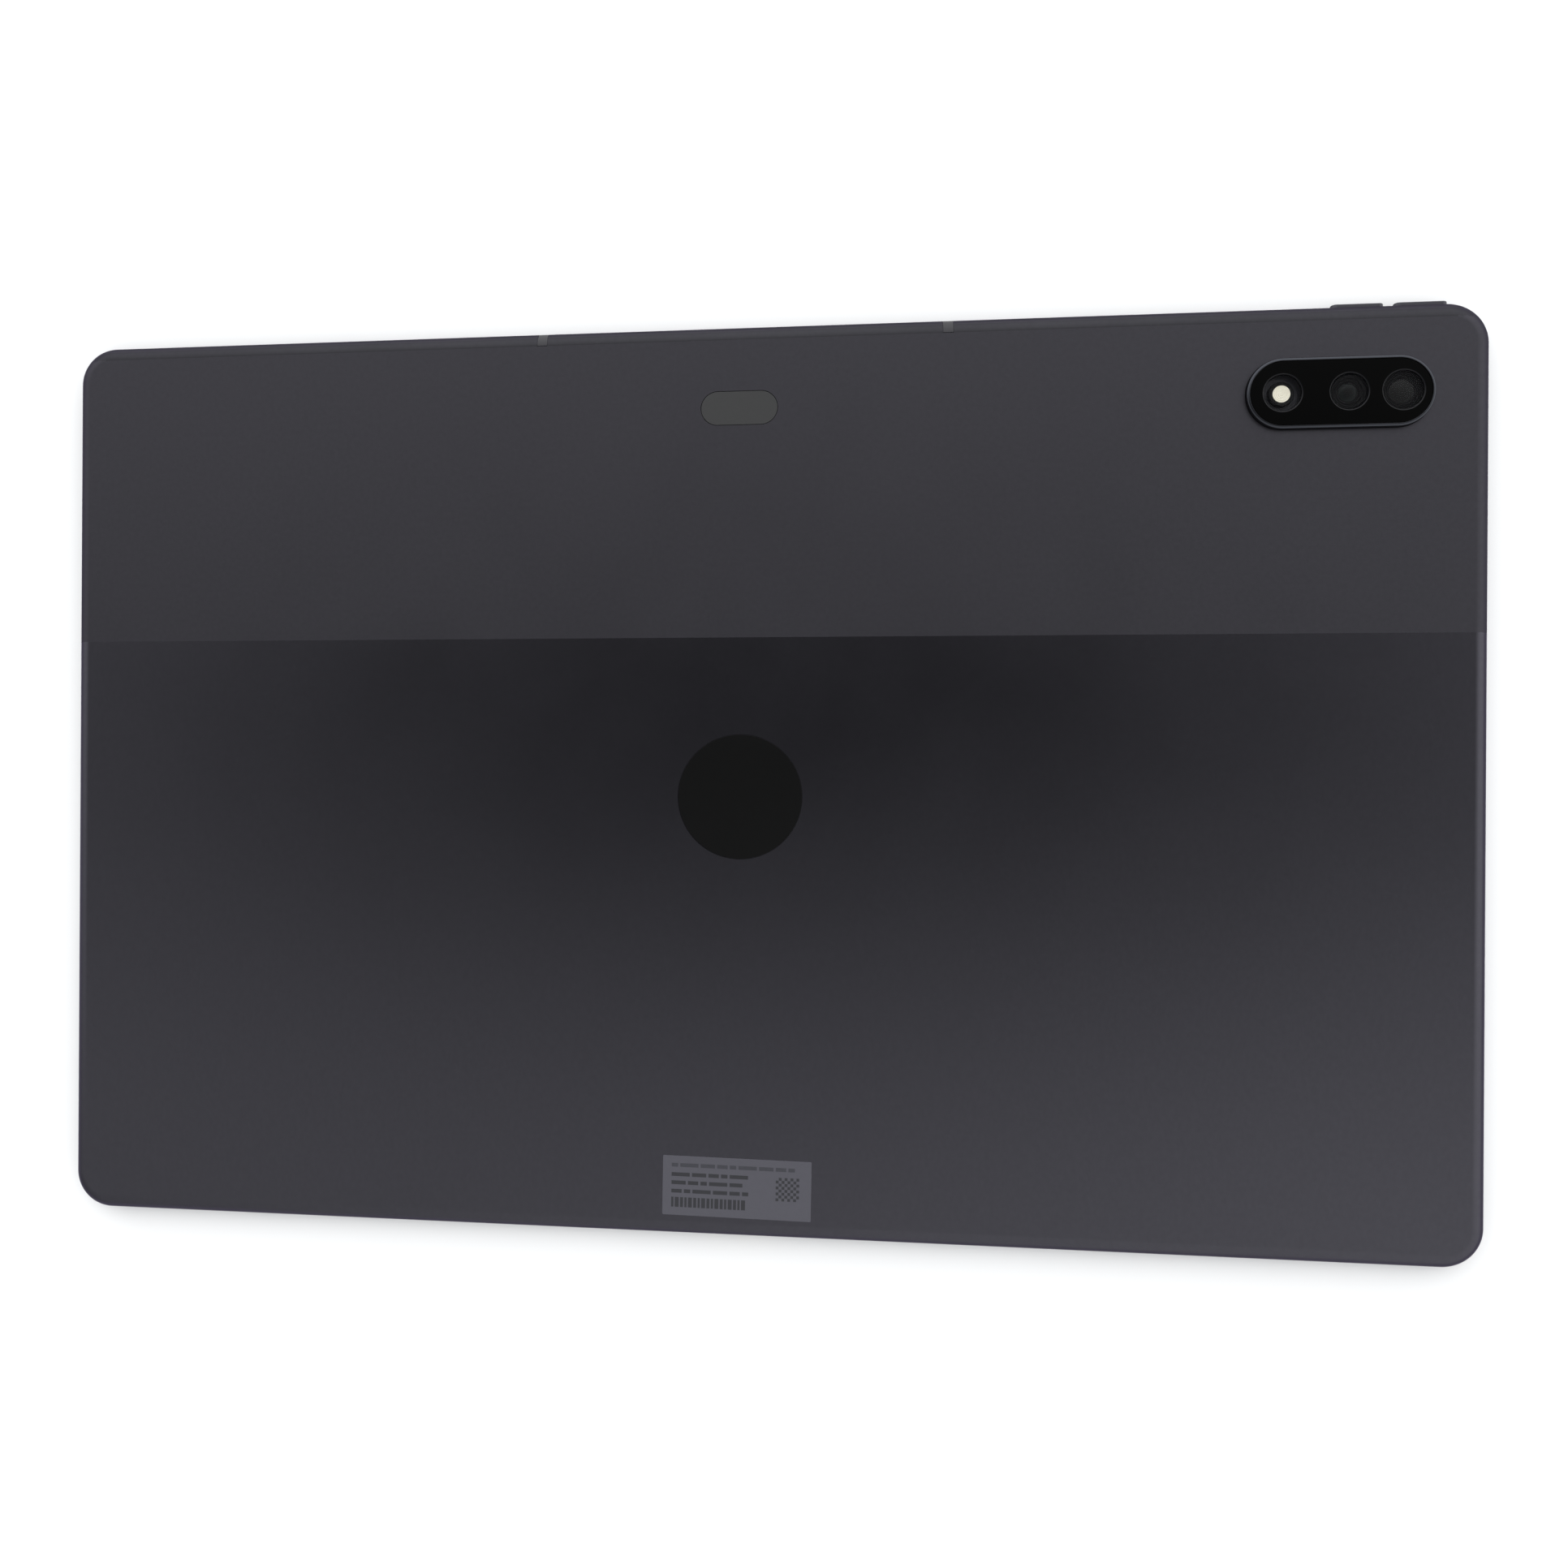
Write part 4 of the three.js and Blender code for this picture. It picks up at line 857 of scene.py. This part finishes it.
def cover_plate():
    """The rounded edges of its windows take the second finish."""
    plate = softened(glass_outline, glass_low.z, glass_high.z, over_ring, PLATE_EDGE)
    plate = cut(plate, *[window_tool(node, window) for node, (lens, window, barrel) in CAMERAS.items()])
    centres = [middle(node) for node in CAMERAS]
    reach = WIDEST_WINDOW / 2 + 2 * WINDOW_ROUNDING
    for face in plate.faces:
        at = face.calc_center_median()
        near = min(math.hypot(at.x - c.x, at.y - c.y) for c in centres) < reach
        if near and WINDOW_EDGE_LIFT[0] < face.normal.z < WINDOW_EDGE_LIFT[1]:
            face.material_index = 1
    return plate


piece("camera_cover_plate", cover_plate(), [island_glass, window_edge],
      ["camera_cover_glass"])

clear_glass = new_material("clear_window", (0.01, 0.01, 0.012), 0.03, Alpha=0.1, Specular_IOR_Level=0.3)
vary_gloss(clear_glass, noise(clear_glass, 500), 0.01, 0.05)
for node, (lens, window, barrel) in CAMERAS.items():
    disc = prism(circle(window - 2 * INLAY_GAP, ROUND_STEPS), glass_low.z + INLAY_GAP,
                 glass_high.z - WINDOW_ROUNDING, over(node))
    piece(f"window_over_{node}", disc, [clear_glass], ["camera_cover_glass"])


def camera_foot(node):
    """The square foot that a camera or the flash stands on."""
    low, high = limits(node)
    at = middle(node)
    half = (high.x - low.x) / 2
    return block(at.x - half, at.x + half, at.y - half, at.y + half, low.z, ring_low.z - FIT_GAP)


def turned(node, rings):
    """A round solid over a node. Each ring is its width, its height and the finish below it."""
    sections = [(circle(across, ROUND_STEPS), z) for across, z, finish in rings]
    return stack(sections, over(node), [finish for across, z, finish in rings[1:]])


def lens_unit(node, iris):
    """A square foot with a barrel whose stepped baffle leads down to a domed lens."""
    low, high = limits(node)
    lens, window, barrel = CAMERAS[node]
    rings = [
        (barrel, low.z + BARREL_FOOT, 0),
        (barrel, high.z - BARREL_CHAMFER, 0),
        (barrel - 2 * BARREL_CHAMFER, high.z, 0),
    ]
    rings += [(lens + wider, high.z - drop, finish) for wider, drop, finish in BAFFLE]
    for turn in quarter_turn(9)[1:-1]:
        across = lens * math.cos(turn)
        height = high.z - LENS_DROP + LENS_DOME * math.sin(turn)
        rings.append((across, height, 2 if across < iris else 1))
    return gathered([camera_foot(node), turned(node, rings)])


for node, coated, iris in (
    ("main_camera_module", lens_glass, 0),
    ("second_camera_module", second_lens_glass, SECOND_IRIS),
):
    finishes = [lens_barrel, coated, lens_iris]
    piece(f"{node}_unit", lens_unit(node, iris), finishes, [node])


def flash_unit(node):
    """A round cup with a diffuser of concentric ribs."""
    low, high = limits(node)
    lens, window, cup = CAMERAS[node]
    rings = [
        (cup, low.z + BARREL_FOOT, 1),
        (cup, high.z, 1),
        (cup - FLASH_CUP_WALL, high.z, 1),
        (lens, high.z - FLASH_CUP_DEPTH, 1),
    ]
    for i in range(FLASH_RIBS):
        diameter = lens * (1 - i / FLASH_RIBS)
        rings += [(diameter - narrower, high.z - drop, 0) for narrower, drop in FLASH_RIB]
    return gathered([marked(camera_foot(node), 1), turned(node, rings)])


piece("flash_led_unit", flash_unit("flash_led"), [flash_white, flash_cup], ["flash_led"])

# ---------------- inlays of the back

window_low, window_high = limits("pen_charging_window")
window_size = window_high - window_low


def window_outline(inset):
    return stadium(*grown(window_size, -WINDOW_FLANGE - inset), INLAY_STEPS)


over_window = over("pen_charging_window")
window_flange = stadium(window_size.x, window_size.y, INLAY_STEPS)
pen_window = joined(
    softened(window_outline, window_low.z, window_high.z, over_window, INLAY_EDGE),
    prism(window_flange, window_low.z, window_low.z + WINDOW_FLANGE_THICKNESS, over_window),
)
piece("pen_window_inlay", pen_window, [window_plastic], ["pen_charging_window"])

emblem_low, emblem_high = limits("back_emblem_disc")


def emblem_outline(inset):
    return circle(emblem_high.x - emblem_low.x - 2 * inset, EMBLEM_STEPS)


emblem = softened(emblem_outline, emblem_low.z, emblem_high.z, over("back_emblem_disc"), INLAY_EDGE)
piece("emblem_disc_inlay", emblem, [emblem_gloss], ["back_emblem_disc"])

# ---------------- label

label_low, label_high = limits("rating_label")
label_at = (label_low + label_high) / 2


def on_label(u, v, w):
    turn = math.radians(LABEL_TILT)
    return (
        label_at.x + u * math.cos(turn) - v * math.sin(turn),
        label_at.y + u * math.sin(turn) + v * math.cos(turn),
        w,
    )


def ink_bar(x, y, length, height, finish=1):
    """A bar of ink from x on, round the height y."""

    def place(u, v, w):
        return on_label(x + length / 2 + u, y + v, label_high.z + w)

    return marked(prism(rectangle(length, height), *INK, place), finish)


def label_print():
    """Plain dashes where the small print was, an even strip of bars and a plain chequered square."""
    bars = []
    for row, (y, length) in enumerate(DASH_ROWS):
        x, end = PRINT_LEFT, PRINT_LEFT + length
        step = row
        while x < end - LAST_DASH:
            dash = min(SHORTEST_DASH + DASH_STEP * ((step * 7) % 4), end - x)
            bars.append(ink_bar(x, y, dash, DASH_HEIGHT, 2 if row == 0 else 1))
            x += dash + DASH_GAP
            step += 1
    strip_y, strip_length, strip_width = STRIP
    x = PRINT_LEFT
    step = 0
    while x < PRINT_LEFT + strip_length:
        width = STRIP_BARS[step % len(STRIP_BARS)]
        bars.append(ink_bar(x, strip_y, width, strip_width))
        x += width + STRIP_GAP
        step += 1
    left, bottom = SQUARE_CORNER
    side = SQUARE_CELL - CELL_GAP
    for i in range(SQUARE_CELLS):
        for j in range(SQUARE_CELLS):
            if (i + j) % 2 == 0:
                bars.append(ink_bar(left + i * SQUARE_CELL, bottom + j * SQUARE_CELL, side, side))
    return bars


film = stack(
    [(rounded_rect(*grown(LABEL_SIZE, -inset), LABEL_CORNER, steps=6), z)
     for inset, z in ((0, label_low.z), (0, label_high.z - LABEL_EDGE), (LABEL_EDGE, label_high.z))],
    on_label,
)
piece("rating_label_film", gathered([film, *label_print()]), [label_film, label_ink, faded_ink],
      ["rating_label"])

# ---------------- keys


def key_solid(length, wall, outer, place, flange_extra, rounding):
    """A cap in the wall's slot, a neck and a flange that keeps it in, with a nub for the switch."""

    def outline(inset):
        return stadium(length - 2 * inset, KEY_HEIGHT - 2 * inset, 16)

    def slab(half, v_low, v_high, w_low, w_high):
        corners = [(-half, v_low), (half, v_low), (half, v_high), (-half, v_high)]
        return prism(corners, w_low, w_high, place)

    flange_outer = wall - FLANGE_GAP
    flange_inner = flange_outer - FLANGE_THICKNESS
    bottom, top = (z - SIDE_Z for z in KEY_FLANGE_Z)
    return joined(
        softened(outline, wall + CAP_INSET, outer, place, rounding, 4),
        slab((length - KEY_HEIGHT) / 2, bottom, NECK_TOP - SIDE_Z, flange_inner, wall + SIDE_WALL / 2),
        slab((length + flange_extra) / 2, bottom, top, flange_inner, flange_outer),
        slab(*KEY_NUB, flange_inner - KEY_NUB_REACH, flange_outer),
    )


for name in ("volume_down_key", "volume_up_key"):
    volume_key = key_solid(VOLUME_KEY_LENGTH, INNER_Y, limits(name)[1].y,
                           facing_y(middle(name).x, SIDE_Z), flange_extra=0.6, rounding=0.25)
    piece(f"{name}_cap", volume_key, [key_metal], [name], body=name)

power_key = key_solid(POWER_KEY_LENGTH, INNER_X, limits("power_key")[1].x,
                      facing_x(middle("power_key").y, SIDE_Z), flange_extra=1.6, rounding=0.15)
piece("power_key_cap", power_key, [key_metal], ["power_key"], body="power_key")

# ---------------- USB-C socket

shell_low, shell_high = limits("usb_socket_shell")
tongue_low, tongue_high = limits("usb_socket_tongue")


def usb_shell():
    profile = [
        (USB_WALL, shell_high.x),
        (USB_WALL, shell_low.x + USB_LIP),
        (USB_WALL - USB_LIP, shell_low.x),
        (USB_LIP, shell_low.x),
        (0, shell_low.x + USB_LIP),
        (0, shell_high.x),
    ]
    sections = [(stadium(*grown(USB_MOUTH, grow)), x) for grow, x in profile]
    return stack(sections, facing_x(usb.y, usb.z), closed=True)


piece("usb_shell_tube", usb_shell(), [bright_steel], ["usb_socket_shell"])


def usb_tongue():
    """A blade with a narrowed tip, on a plug that closes the back of the socket."""
    base_x = tongue_high.x - USB_BASE_DEPTH
    narrowing, tip = USB_BLADE_TIP
    profile = [(narrowing, tongue_low.x), (0, tongue_low.x + tip), (0, base_x + USB_BLADE_ROOT)]
    sections = [(rounded_rect(*grown(USB_BLADE, -inset), USB_BLADE_CORNER - inset, 4), x)
                for inset, x in profile]
    blade = stack(sections, facing_x(usb.y, usb.z))
    plug = prism(stadium(*grown(USB_MOUTH, -FIT_GAP)), base_x, tongue_high.x, facing_x(usb.y, usb.z))
    return joined(blade, plug)


def usb_contacts():
    """A row of flat contacts on each face of the tongue."""
    contacts = []
    width, height = USB_CONTACT
    start, end = tongue_low.x + USB_CONTACT_ENDS[0], tongue_high.x - USB_CONTACT_ENDS[1]
    for face in (-1, 1):
        surface = usb.z + face * USB_BLADE[1] / 2
        low, high = sorted((surface, surface + face * height))
        for i in range(USB_CONTACTS):
            y = usb.y + (i - (USB_CONTACTS - 1) / 2) * USB_CONTACT_PITCH
            contacts.append(marked(block(start, end, y - width / 2, y + width / 2, low, high), 1))
    return contacts


piece("usb_tongue_board", gathered([usb_tongue(), *usb_contacts()]), [black_plastic, gold],
      ["usb_socket_tongue"])

# ---------------- card tray


def card_tray():
    """A door that follows the housing's rounding, with the frame for the card behind it."""
    z = tray_door.z
    low, high = z - TRAY_HEIGHT / 2, z + TRAY_HEIGHT / 2
    back = -SIDE_X + TRAY_DOOR_THICKNESS
    door = combine(
        "INTERSECT",
        prism(stadium(*TRAY_DOOR), -SIDE_X - PAST, back, facing_x(tray_door.y, z)),
        outer_form(TRAY_DOOR_RECESS),
    )
    inner = limits("card_tray")[1].x
    bars = block(back - FIT_GAP, inner, tray_y - TRAY_WIDTH / 2, tray_y + TRAY_WIDTH / 2, low, high)
    at_card = upright(back + CARD_FROM_DOOR + CARD[0] / 2, tray_y)
    pocket = prism(rounded_rect(*CARD, CARD_CORNERS[0]), high - CARD_DEPTH, high + SHORT_PAST, at_card)
    opening = rounded_rect(*grown(CARD, -CARD_LIP), CARD_CORNERS[1])
    through = prism(opening, low - SHORT_PAST, high + SHORT_PAST, at_card)
    pin_hole = prism(circle(PIN_HOLE, PIN_STEPS), -SIDE_X - SHORT_PAST, back + SHORT_PAST,
                     facing_x(rod.y, rod.z))
    return cut(joined(door, bars), pocket, through, pin_hole)


piece("card_tray_drawer", card_tray(), [key_metal], ["card_tray"], body="card_tray")

# ---------------- dock contacts

block_low, block_high = limits("dock_contact_block")
contact_names = [f"dock_contact_{i}" for i in (1, 2, 3)]


def dock_block():
    outer, inner = block_low.y, block_high.y
    sections = [
        (stadium(*grown(DOCK, -DOCK_CHAMFER)), outer),
        (stadium(*DOCK), outer + DOCK_CHAMFER),
        (stadium(*DOCK), -INNER_Y + DOCK_BODY_DEPTH),
    ]
    body = stack(sections, facing_y(dock.x, dock.z))
    lip = block(block_low.x, block_high.x, -INNER_Y + FIT_GAP, inner, DOCK_LIP_Z, block_high.z)
    bore = circle(DOCK_BORE, PIN_STEPS)
    bores = [prism(bore, outer - SHORT_PAST, inner + SHORT_PAST, facing_y(middle(name).x, dock.z))
             for name in contact_names]
    return cut(joined(body, lip), *bores)


def dock_pin(name):
    """A round contact with a domed crown."""
    low, high = limits(name)
    across = high.x - low.x
    sections = []
    for degrees in (80, 60, 40, 20, 0):
        turn = math.radians(degrees)
        crown = circle(across * math.cos(turn), PIN_STEPS)
        sections.append((crown, low.y + DOCK_PIN_CROWN * (1 - math.sin(turn))))
    sections.append((circle(across, PIN_STEPS), high.y))
    return stack(sections, facing_y(middle(name).x, dock.z))


piece("dock_block_moulding", dock_block(), [black_plastic], ["dock_contact_block"])
for name in contact_names:
    piece(f"{name}_pin", dock_pin(name), [gold], [name])

# ---------------- screen side

glass_back_z = limits("cover_glass")[1].z


def cover_glass():
    """The border and the lit area are one flat face in two finishes."""
    sections = [(body_outline(GLASS_INSET), glass_back_z)]
    for turn in quarter_turn(4):
        inset = GLASS_INSET + GLASS_RIM * (1 - math.cos(turn))
        sections.append((body_outline(inset), GLASS_FACE + GLASS_RIM * (1 - math.sin(turn))))
    lit = rounded_rect(*grown((2 * SIDE_X, 2 * SIDE_Y), -PANEL_MARGIN), PANEL_CORNER, CORNER_STEPS)
    sections.append((lit, GLASS_FACE))
    solid = stack(sections, upright())
    for side in solid.faces:
        if len(side.verts) == len(lit) and side.calc_center_median().z < glass_back_z / 2:
            side.material_index = 1
    return solid


def sensor_window(node, diameter, pupil):
    """A dark ring round a slightly bluish pupil, level with the border of the screen."""
    sections = [
        (circle(diameter), 2 * GLASS_FACE),
        (circle(diameter), GLASS_FACE / 2),
        (circle(pupil), GLASS_FACE / 2),
        (circle(pupil), 0),
    ]
    return stack(sections, over(node), [2, 2, 3])


glass_pieces = [
    cover_glass(),
    sensor_window("front_camera_module", *FRONT_CAMERA_WINDOW),
    sensor_window("depth_sensor_module", *DEPTH_SENSOR_WINDOW),
]
screen_finishes = [screen_border, screen_area, sensor_ring, sensor_dot]
piece("cover_glass_sheet", gathered(glass_pieces), screen_finishes, ["cover_glass"])

# ---------------- pieces that keep their CAD mesh

SPEAKERS = ("lower_left", "upper_left", "lower_right", "upper_right")
KEPT_NODES = [
    (adhesive, ["display_adhesive"]),
    (black_plastic, ["display_panel", "front_camera_module", "depth_sensor_module"]),
    (black_plastic, [f"speaker_{corner}" for corner in SPEAKERS]),
    (speaker_mesh, [f"speaker_mesh_{corner}" for corner in SPEAKERS]),
    (midframe_metal, ["midframe_plate"]),
    (coil_copper, ["pen_charging_coil"]),
    (flex_film, ["power_key_board", "volume_key_board", "io_flex_cable", "display_flex_cable"]),
    (rubber, ["card_tray_seal"]),
    (bright_steel, ["card_socket", "ejector_rod", "ejector_lever"]),
    (bright_steel, [f"board_screw_{i}" for i in (1, 2, 3, 4)]),
    (shield_tin, ["microphone_left", "microphone_right", "processor_shield", "power_shield"]),
    (magnet_nickel, ["dock_magnet_left", "dock_magnet_right"]),
    (pouch, ["battery_cell_left", "battery_cell_right"]),
    (board_mask, ["main_board", "io_board", "battery_protection_board"]),
    (graphite, ["graphite_sheet"]),
]
for material, node in [(material, node) for material, nodes in KEPT_NODES for node in nodes]:
    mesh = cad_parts[node].data
    mesh.materials.clear()
    mesh.materials.append(material)

# ---------------- floor, light and camera

FLOOR_DROP = 0.1
FLOOR_REACH = 6000
FLOOR_CORNER = 1
FLOOR_HOLE_INSET = 1.5


def pale_floor():
    """A wide floor, open where the tablet covers it so that the screen has something to mirror."""
    sheet = bmesh.new()
    edge = rounded_rect(2 * FLOOR_REACH, 2 * FLOOR_REACH, FLOOR_CORNER, CORNER_STEPS)
    outer, inner = (
        [sheet.verts.new((x * MM, y * MM, -FLOOR_DROP * MM)) for x, y in points]
        for points in (edge, body_outline(FLOOR_HOLE_INSET))
    )
    for i in range(len(outer)):
        j = (i + 1) % len(outer)
        sheet.faces.new((outer[i], outer[j], inner[j], inner[i]))
    floor = placed("floor", as_mesh("floor", sheet))
    material = new_material("floor_white", (0.9, 0.9, 0.9), 0.9)
    # Seen from below, the floor is clear, so that the screen side can be looked at.
    geometry = add_node(material, "ShaderNodeNewGeometry")
    clear = add_node(material, "ShaderNodeBsdfTransparent")
    mix = add_node(material, "ShaderNodeMixShader")
    tree = material.node_tree
    tree.links.new(geometry.outputs["Backfacing"], mix.inputs[0])
    tree.links.new(tree.nodes["Principled BSDF"].outputs[0], mix.inputs[1])
    tree.links.new(clear.outputs[0], mix.inputs[2])
    tree.links.new(mix.outputs[0], tree.nodes["Material Output"].inputs["Surface"])
    floor.data.materials.append(material)


WORLD_BRIGHT = 1.5
WORLD_BELOW = 0.7  # what the screen side mirrors
WORLD_TILT_X = 0.21  # how much brighter the light from +X is than that from overhead
WORLD_TILT_Y = 0.66
WORLD_TWIST = -0.35
# Where the studio is darkest and how far that reaches, sideways and forward per unit of height.
DARK_CENTRE = (-0.033, 0.092)
DARK_REACH = (1.61, 0.535)
LOWEST_HEIGHT = 0.05  # keeps the slopes finite beside the horizon
TILT_END_Y = -0.4  # the forward tilt falls no further than here


def studio_world():
    """Even soft light all round with a darker patch overhead, before a plain white backdrop."""
    world = bpy.data.worlds.new("studio")
    scene.world = world
    world.use_nodes = True
    tree = world.node_tree
    nodes, links = tree.nodes, tree.links

    def calculate(operation, first, second):
        node = nodes.new("ShaderNodeMath")
        node.operation = operation
        for number, value in enumerate((first, second)):
            if isinstance(value, (int, float)):
                node.inputs[number].default_value = value
            else:
                links.new(value, node.inputs[number])
        return node.outputs[0]

    coordinates = nodes.new("ShaderNodeTexCoord")
    parts = nodes.new("ShaderNodeSeparateXYZ")
    links.new(coordinates.outputs["Generated"], parts.inputs[0])
    height = calculate("MAXIMUM", parts.outputs[2], LOWEST_HEIGHT)
    offsets = []
    for axis in (0, 1):
        slope = calculate("DIVIDE", parts.outputs[axis], height)
        away = calculate("DIVIDE", calculate("SUBTRACT", slope, DARK_CENTRE[axis]), DARK_REACH[axis])
        offsets.append(calculate("MULTIPLY", away, away))
    distance = calculate("SQRT", calculate("ADD", *offsets), 0)
    spread = nodes.new("ShaderNodeMapRange")
    spread.interpolation_type = "SMOOTHSTEP"
    links.new(distance, spread.inputs["Value"])
    spread.inputs["To Min"].default_value = 0
    spread.inputs["To Max"].default_value = WORLD_BRIGHT
    below = calculate("LESS_THAN", parts.outputs[2], 0)
    across, forward = parts.outputs[0], calculate("MAXIMUM", parts.outputs[1], TILT_END_Y)
    twist = calculate("MULTIPLY", calculate("MULTIPLY", across, forward), WORLD_TWIST)
    tilt_x = calculate("MULTIPLY", across, WORLD_TILT_X)
    tilt_y = calculate("MULTIPLY", forward, WORLD_TILT_Y)
    tilt = calculate("ADD", calculate("ADD", twist, 1), calculate("ADD", tilt_x, tilt_y))
    overhead = calculate("MULTIPLY", spread.outputs["Result"], tilt)
    above = calculate("SUBTRACT", 1, below)
    from_below = calculate("MULTIPLY", below, WORLD_BELOW)
    light = calculate("ADD", calculate("MULTIPLY", overhead, above), from_below)
    backdrop = nodes.new("ShaderNodeLightPath").outputs["Is Camera Ray"]
    strength = calculate("MAXIMUM", light, calculate("MULTIPLY", backdrop, WORLD_BRIGHT))
    background = nodes["Background"]
    background.inputs["Color"].default_value = (0.98, 0.99, 1.0, 1)
    links.new(strength, background.inputs["Strength"])


CAMERA_AT = Vector((0.0213, -0.0005, 0.2498))
CAMERA_FORWARD = Vector((-0.1077, -0.0002, -0.9942))
CAMERA_ROLL = math.radians(0.35)
CAMERA_FIELD = math.radians(65.56)
CAMERA_SHIFT = 0.045


def photo_camera():
    data = bpy.data.cameras.new("camera")
    data.angle = CAMERA_FIELD
    data.shift_x = CAMERA_SHIFT
    data.clip_start = 0.01
    camera = placed("camera", data)
    forward = CAMERA_FORWARD.normalized()
    right = forward.cross(Vector((-math.sin(CAMERA_ROLL), math.cos(CAMERA_ROLL), 0))).normalized()
    up = right.cross(forward)
    turn = Matrix((right, up, -forward)).transposed()
    camera.matrix_world = Matrix.Translation(CAMERA_AT) @ turn.to_4x4()
    scene.camera = camera


scene.view_settings.view_transform = "Standard"
pale_floor()
studio_world()
photo_camera()
